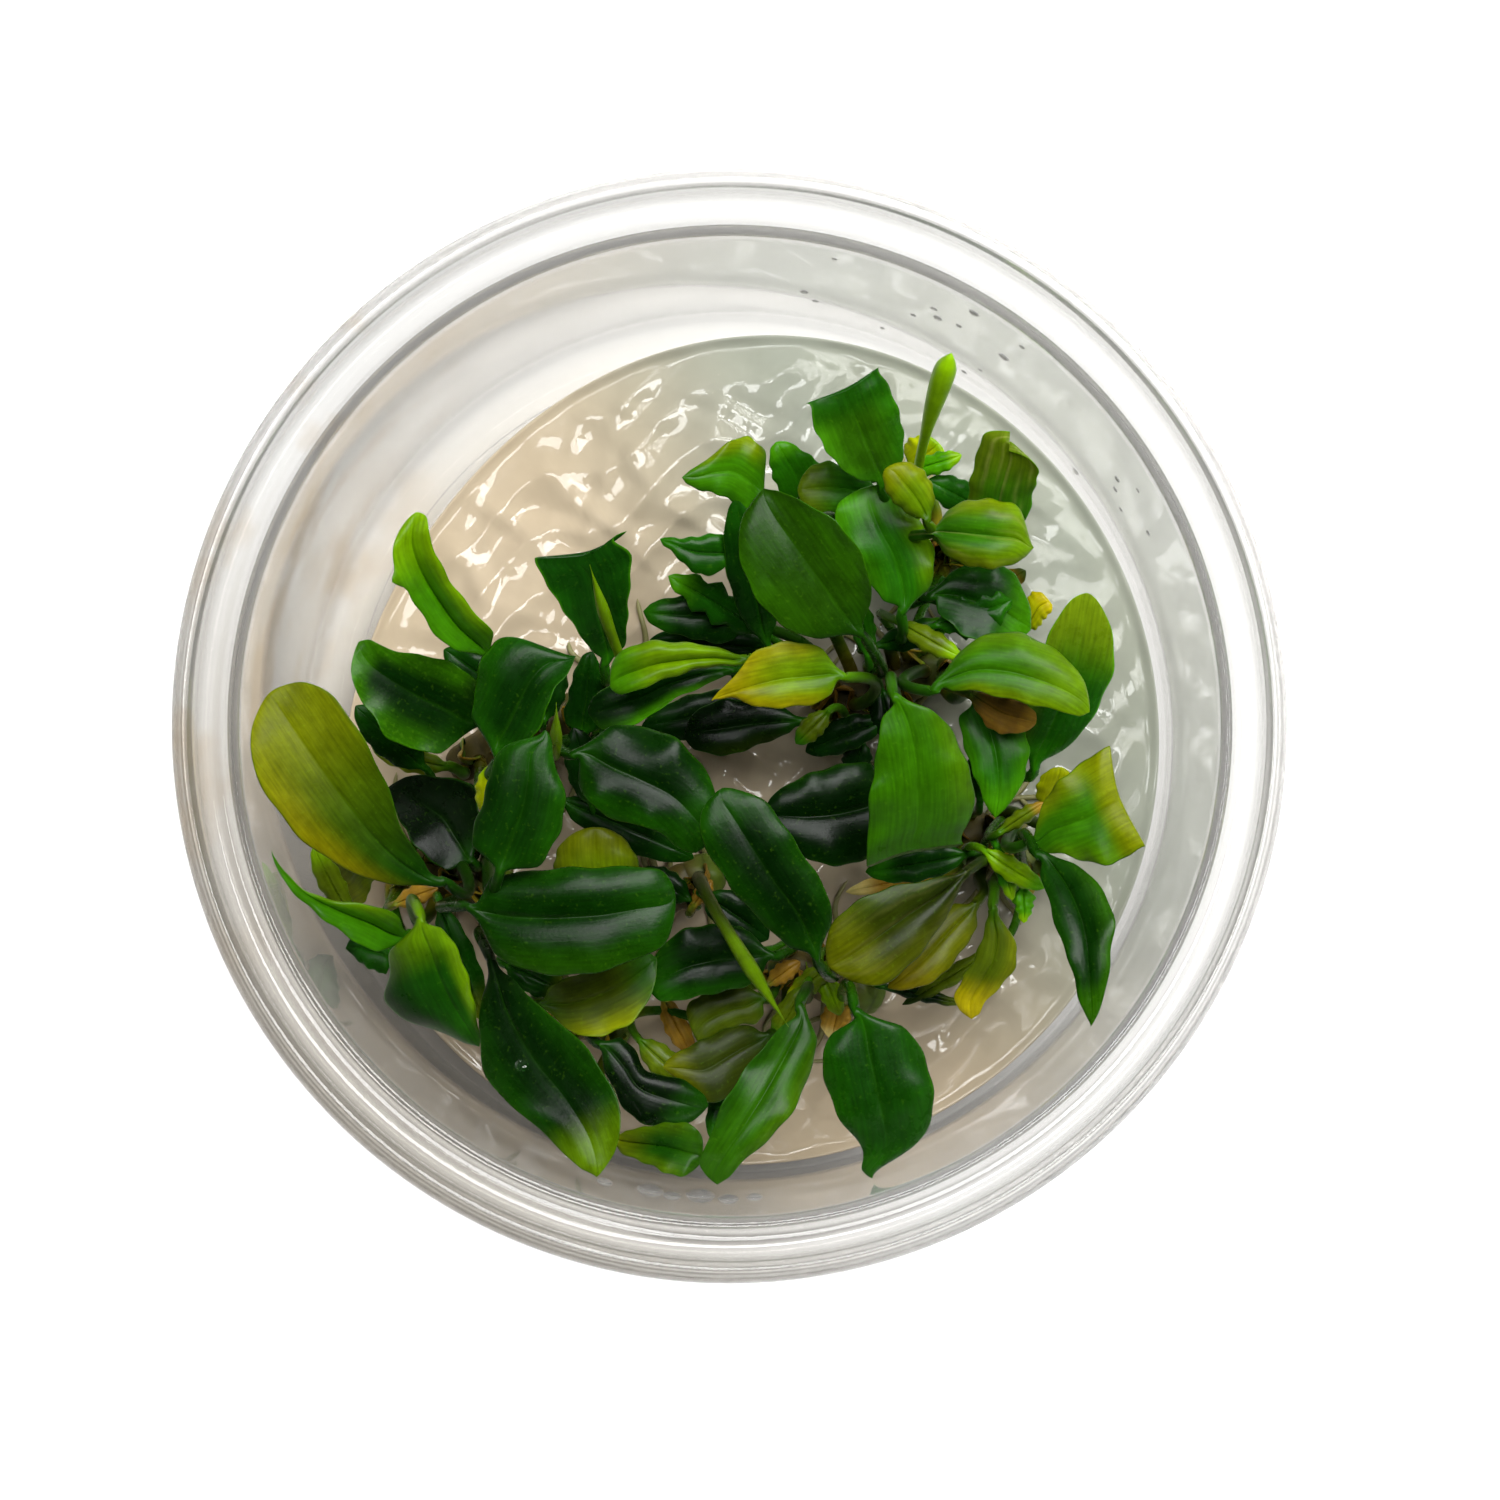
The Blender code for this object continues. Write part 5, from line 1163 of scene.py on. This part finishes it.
for name, r in rhizomes.items():
    roots = [rolledRoot(r) for _ in range(crown["roots"])]
    addPiece(name + "Rhizome", [stemSkin(r), *roots], barkMaterial, [name + "_rhizome"])
    sheaths = [rolledSheath(r, crown["sheathColours"][index % 3]) for index in range(crown["sheaths"])]
    addPiece(name + "Sheaths", sheaths, leafMaterials["leaf_olive"])
print("rhizomes made:", len(rhizomes))


# Each drop on the wall is at an angle round the cup, a height and half its width.
drops = dict(
    places=((64.4, 31.8, 0.4), (63.6, 28.3, 0.5), (60.8, 29.8, 0.35), (59.6, 40.0, 0.55), (54.1, 28.6, 0.6),
            (52.6, 39.1, 0.35), (56.2, 14.6, 0.3), (58.1, 8.5, 0.35), (66.7, 24.0, 0.35), (70.2, 10.9, 0.3),
            (80.9, 19.6, 0.45), (79.4, 15.7, 0.35), (77.5, 39.6, 0.3), (38.2, 8.5, 0.45), (33.4, 26.8, 0.4),
            (32.7, 22.3, 0.35), (30.5, 33.8, 0.3), (25.7, 26.9, 0.35), (30.3, 18.6, 0.3), (-105.7, 30.5, 0.8),
            (-100.1, 28.6, 1.3), (-97.3, 30.4, 0.9), (-93.9, 28.0, 1.4), (-90.4, 30.0, 1.0),
            (-87.2, 28.8, 0.8)),
    tall=1.5, proud=0.55, sides=18, front=(0.05, 0.3, 0.55, 0.75, 0.9, 0.98, 1.0), back=(0.6, 0.1), sunk=0.06,
    onLeaf="westLeaf6", leafPlace=(-18.9, -30.5), leafSize=0.75, leafTall=0.8, leafProud=0.5,
)
waterLook = {"Base Color": (1, 1, 1, 1), "Roughness": 0.02, "IOR": 1.33, "Transmission Weight": 1.0}


def beadSkin(centre, along, upward, outward, width, height, proud):
    # Half a lens: the ring at share p of its size stands proud * (1 - p^2)^0.5 out, and the back is flat.
    share = np.array([*drops["front"], *drops["back"]])[:, None]
    isFront = (np.arange(len(share)) < len(drops["front"]))[:, None]
    out = proud * np.sqrt(np.clip(1 - share**2, 0, 1)) * isFront - drops["sunk"]
    angle = around(drops["sides"])
    grid = centre + along * (share * np.cos(angle) * width)[..., None]
    grid = grid + upward * (share * np.sin(angle) * height)[..., None]
    grid = grid + outward * np.broadcast_to(out, share.shape[:1] + angle.shape)[..., None]
    return skin(grid, grid * 0 + 1, grid * 0)


def wallDrop(angle, height, size):
    # On the wall's inner cone, whose radius grows evenly from the heel to the mouth.
    way = np.array([np.cos(np.radians(angle)), np.sin(np.radians(angle)), 0.0])
    heel = cup["heel"] - cup["inset"]
    lean = (cup["mouth"] - heel) / (cup["mouthHeight"] - cup["heelHeight"])
    upward = unit(way * lean + up)
    across = np.cross(upward, way)
    centre = way * (heel + lean * (height - cup["heelHeight"])) + np.array([0, 0, height])
    tall, proud = size * drops["tall"], size * drops["proud"]
    return beadSkin(centre, across, upward, -np.cross(across, upward), size, tall, proud)


def leafDrop(name, place, size):
    # On the upper side of a leaf, at its point nearest to the place.
    points = leafSkin(wordsOf(name)[0], leaves[name])["points"]
    near = np.argmin(np.hypot(*(points[:, :2] - place).T) - 0.3 * points[:, 2])
    close = points[np.linalg.norm(points - points[near], axis=1) < 1.0]
    flat = np.linalg.svd(close - close.mean(0))[2]
    outward = flat[2] * np.sign(flat[2][2])
    tall, proud = size * drops["leafTall"], size * drops["leafProud"]
    return beadSkin(points[near], flat[0], np.cross(outward, flat[0]), outward, size, tall, proud)


water, _, _ = newMaterial("dropWater", waterLook)
beads = [wallDrop(*place) for place in drops["places"]]
beads.append(leafDrop(drops["onLeaf"], drops["leafPlace"], drops["leafSize"]))
addPiece("dewDrops", beads, water).visible_shadow = False
print("drops made:", len(beads))


# The floor and lamps are in metres and the viewer is in millimetres, with focal and picture in pixels. The
# floor glows to stay white, and its painted light is stronger to the upper right; a dimmer, browner zone
# under the cup is a painted shadow, as the cup throws no shadow of its own.
table = dict(
    size=3.0, drop=0.0002, roughness=0.9, specular=0.1, glow=0.64, slope=8.0, way=(0.75, 0.65, 0),
    change=(-0.04, 0.7), shadeAt=(-0.003, -0.0025, 0), shade=(0.034, 0.046), shadedGlow=0.1,
    colour=(0.55, 0.55, 0.55), shadedColour=(0.4, 0.36, 0.29),
)
lamps = dict(
    key=dict(place=(0.26, 0.4, 0.84), size=0.5, power=12.0),
    window=dict(place=(-0.12, 0.2, 0.92), size=0.3, power=3.0),
)
sky = dict(strength=1.9, zenith=0.03, dimFrom=0.22, dimTo=0.52)
aimOfLamps = (0, 0, 0.03)
viewer = dict(eye=(8.0, -22.6, 650.0), aim=(1.89, -2.36, 50.0), focal=6726.0, picture=1500, film=36.0)


def floorMaterial():
    # The glow is painted light, (glow + slope * reach) * under, and under falls to its shaded share in a
    # round zone, the cup's painted shadow in both the glow and the base colour.
    settings = {"Roughness": table["roughness"], "Specular IOR Level": table["specular"]}
    material, tree, shader = newMaterial("paleFloor", {**settings, "Emission Color": (1, 1, 1, 1)})
    where = ownPlace(tree)
    rise = mathNode(tree, "MULTIPLY", reachAlong(tree, where, table["way"]), table["slope"])
    low, high = table["change"]
    change = addNode(tree, "ShaderNodeClamp", {"Min": low, "Max": high}, {"Value": rise}).outputs[0]
    apart = addNode(tree, "ShaderNodeVectorMath", {"operation": "DISTANCE", 1: table["shadeAt"]}, {0: where})
    under = ramp(tree, apart.outputs["Value"], *table["shade"], table["shadedGlow"], 1.0, "SMOOTHSTEP")
    glow = mathNode(tree, "MULTIPLY", mathNode(tree, "ADD", change, table["glow"]), under)
    feed(shader, "Emission Strength", glow)
    # Painted shadow: the base colour is darker and browner under the cup.
    shade = mixColours(tree, "MIX", under, table["shadedColour"], table["colour"])
    feed(shader, "Base Color", shade)
    return material


def addFloor():
    # One square, a hair below the cup's foot.
    mesh = bpy.data.meshes.new("floor")
    edge = table["size"]
    corners = [(-edge, -edge), (edge, -edge), (edge, edge), (-edge, edge)]
    mesh.from_pydata([(x, y, -table["drop"]) for x, y in corners], [], [(0, 1, 2, 3)])
    mesh.materials.append(floorMaterial())
    floor = bpy.data.objects.new("floor", mesh)
    bpy.context.scene.collection.objects.link(floor)


def addSoftbox(name, place, size, power):
    # A square lamp that the camera doesn't see.
    light = bpy.data.lights.new(name, "AREA")
    light.shape, light.size, light.energy = "SQUARE", size, power
    lamp = bpy.data.objects.new(name, light)
    lamp.location = place
    lamp.visible_camera = False
    lamp.rotation_euler = (Vector(aimOfLamps) - Vector(place)).to_track_quat("-Z", "Y").to_euler()
    bpy.context.scene.collection.objects.link(lamp)


def addSky():
    # Bright to the sides and dim overhead, by the height of the direction.
    world = bpy.data.worlds.new("studioSky")
    world.use_nodes = True
    tree = world.node_tree
    way = addNode(tree, "ShaderNodeTexCoord").outputs["Generated"]
    height = addNode(tree, "ShaderNodeSeparateXYZ", (), {"Vector": way}).outputs["Z"]
    glow = ramp(tree, height, sky["dimFrom"], sky["dimTo"], sky["strength"], sky["zenith"], "SMOOTHSTEP")
    feed(tree.nodes["Background"], "Strength", glow)
    bpy.context.scene.world = world


def addCamera():
    # The picture's frame is 36 mm wide at a lens of focal * 36 / 1500.
    eye, aim = Vector(viewer["eye"]) * mm, Vector(viewer["aim"]) * mm
    ahead = (aim - eye).normalized()
    right = ahead.cross(Vector((0, 1, 0))).normalized()
    axes = Matrix((right, right.cross(ahead), -ahead)).transposed()
    data = bpy.data.cameras.new("viewer")
    data.lens = viewer["focal"] * viewer["film"] / viewer["picture"]
    data.sensor_width = viewer["film"]
    camera = bpy.data.objects.new("viewer", data)
    camera.matrix_world = Matrix.Translation(eye) @ axes.to_4x4()
    bpy.context.scene.collection.objects.link(camera)
    bpy.context.scene.camera = camera


addFloor()
for name, lamp in lamps.items():
    addSoftbox(name, **lamp)
addSky()
addCamera()
bpy.context.scene.view_settings.view_transform = "Standard"

bpy.context.view_layer.update()
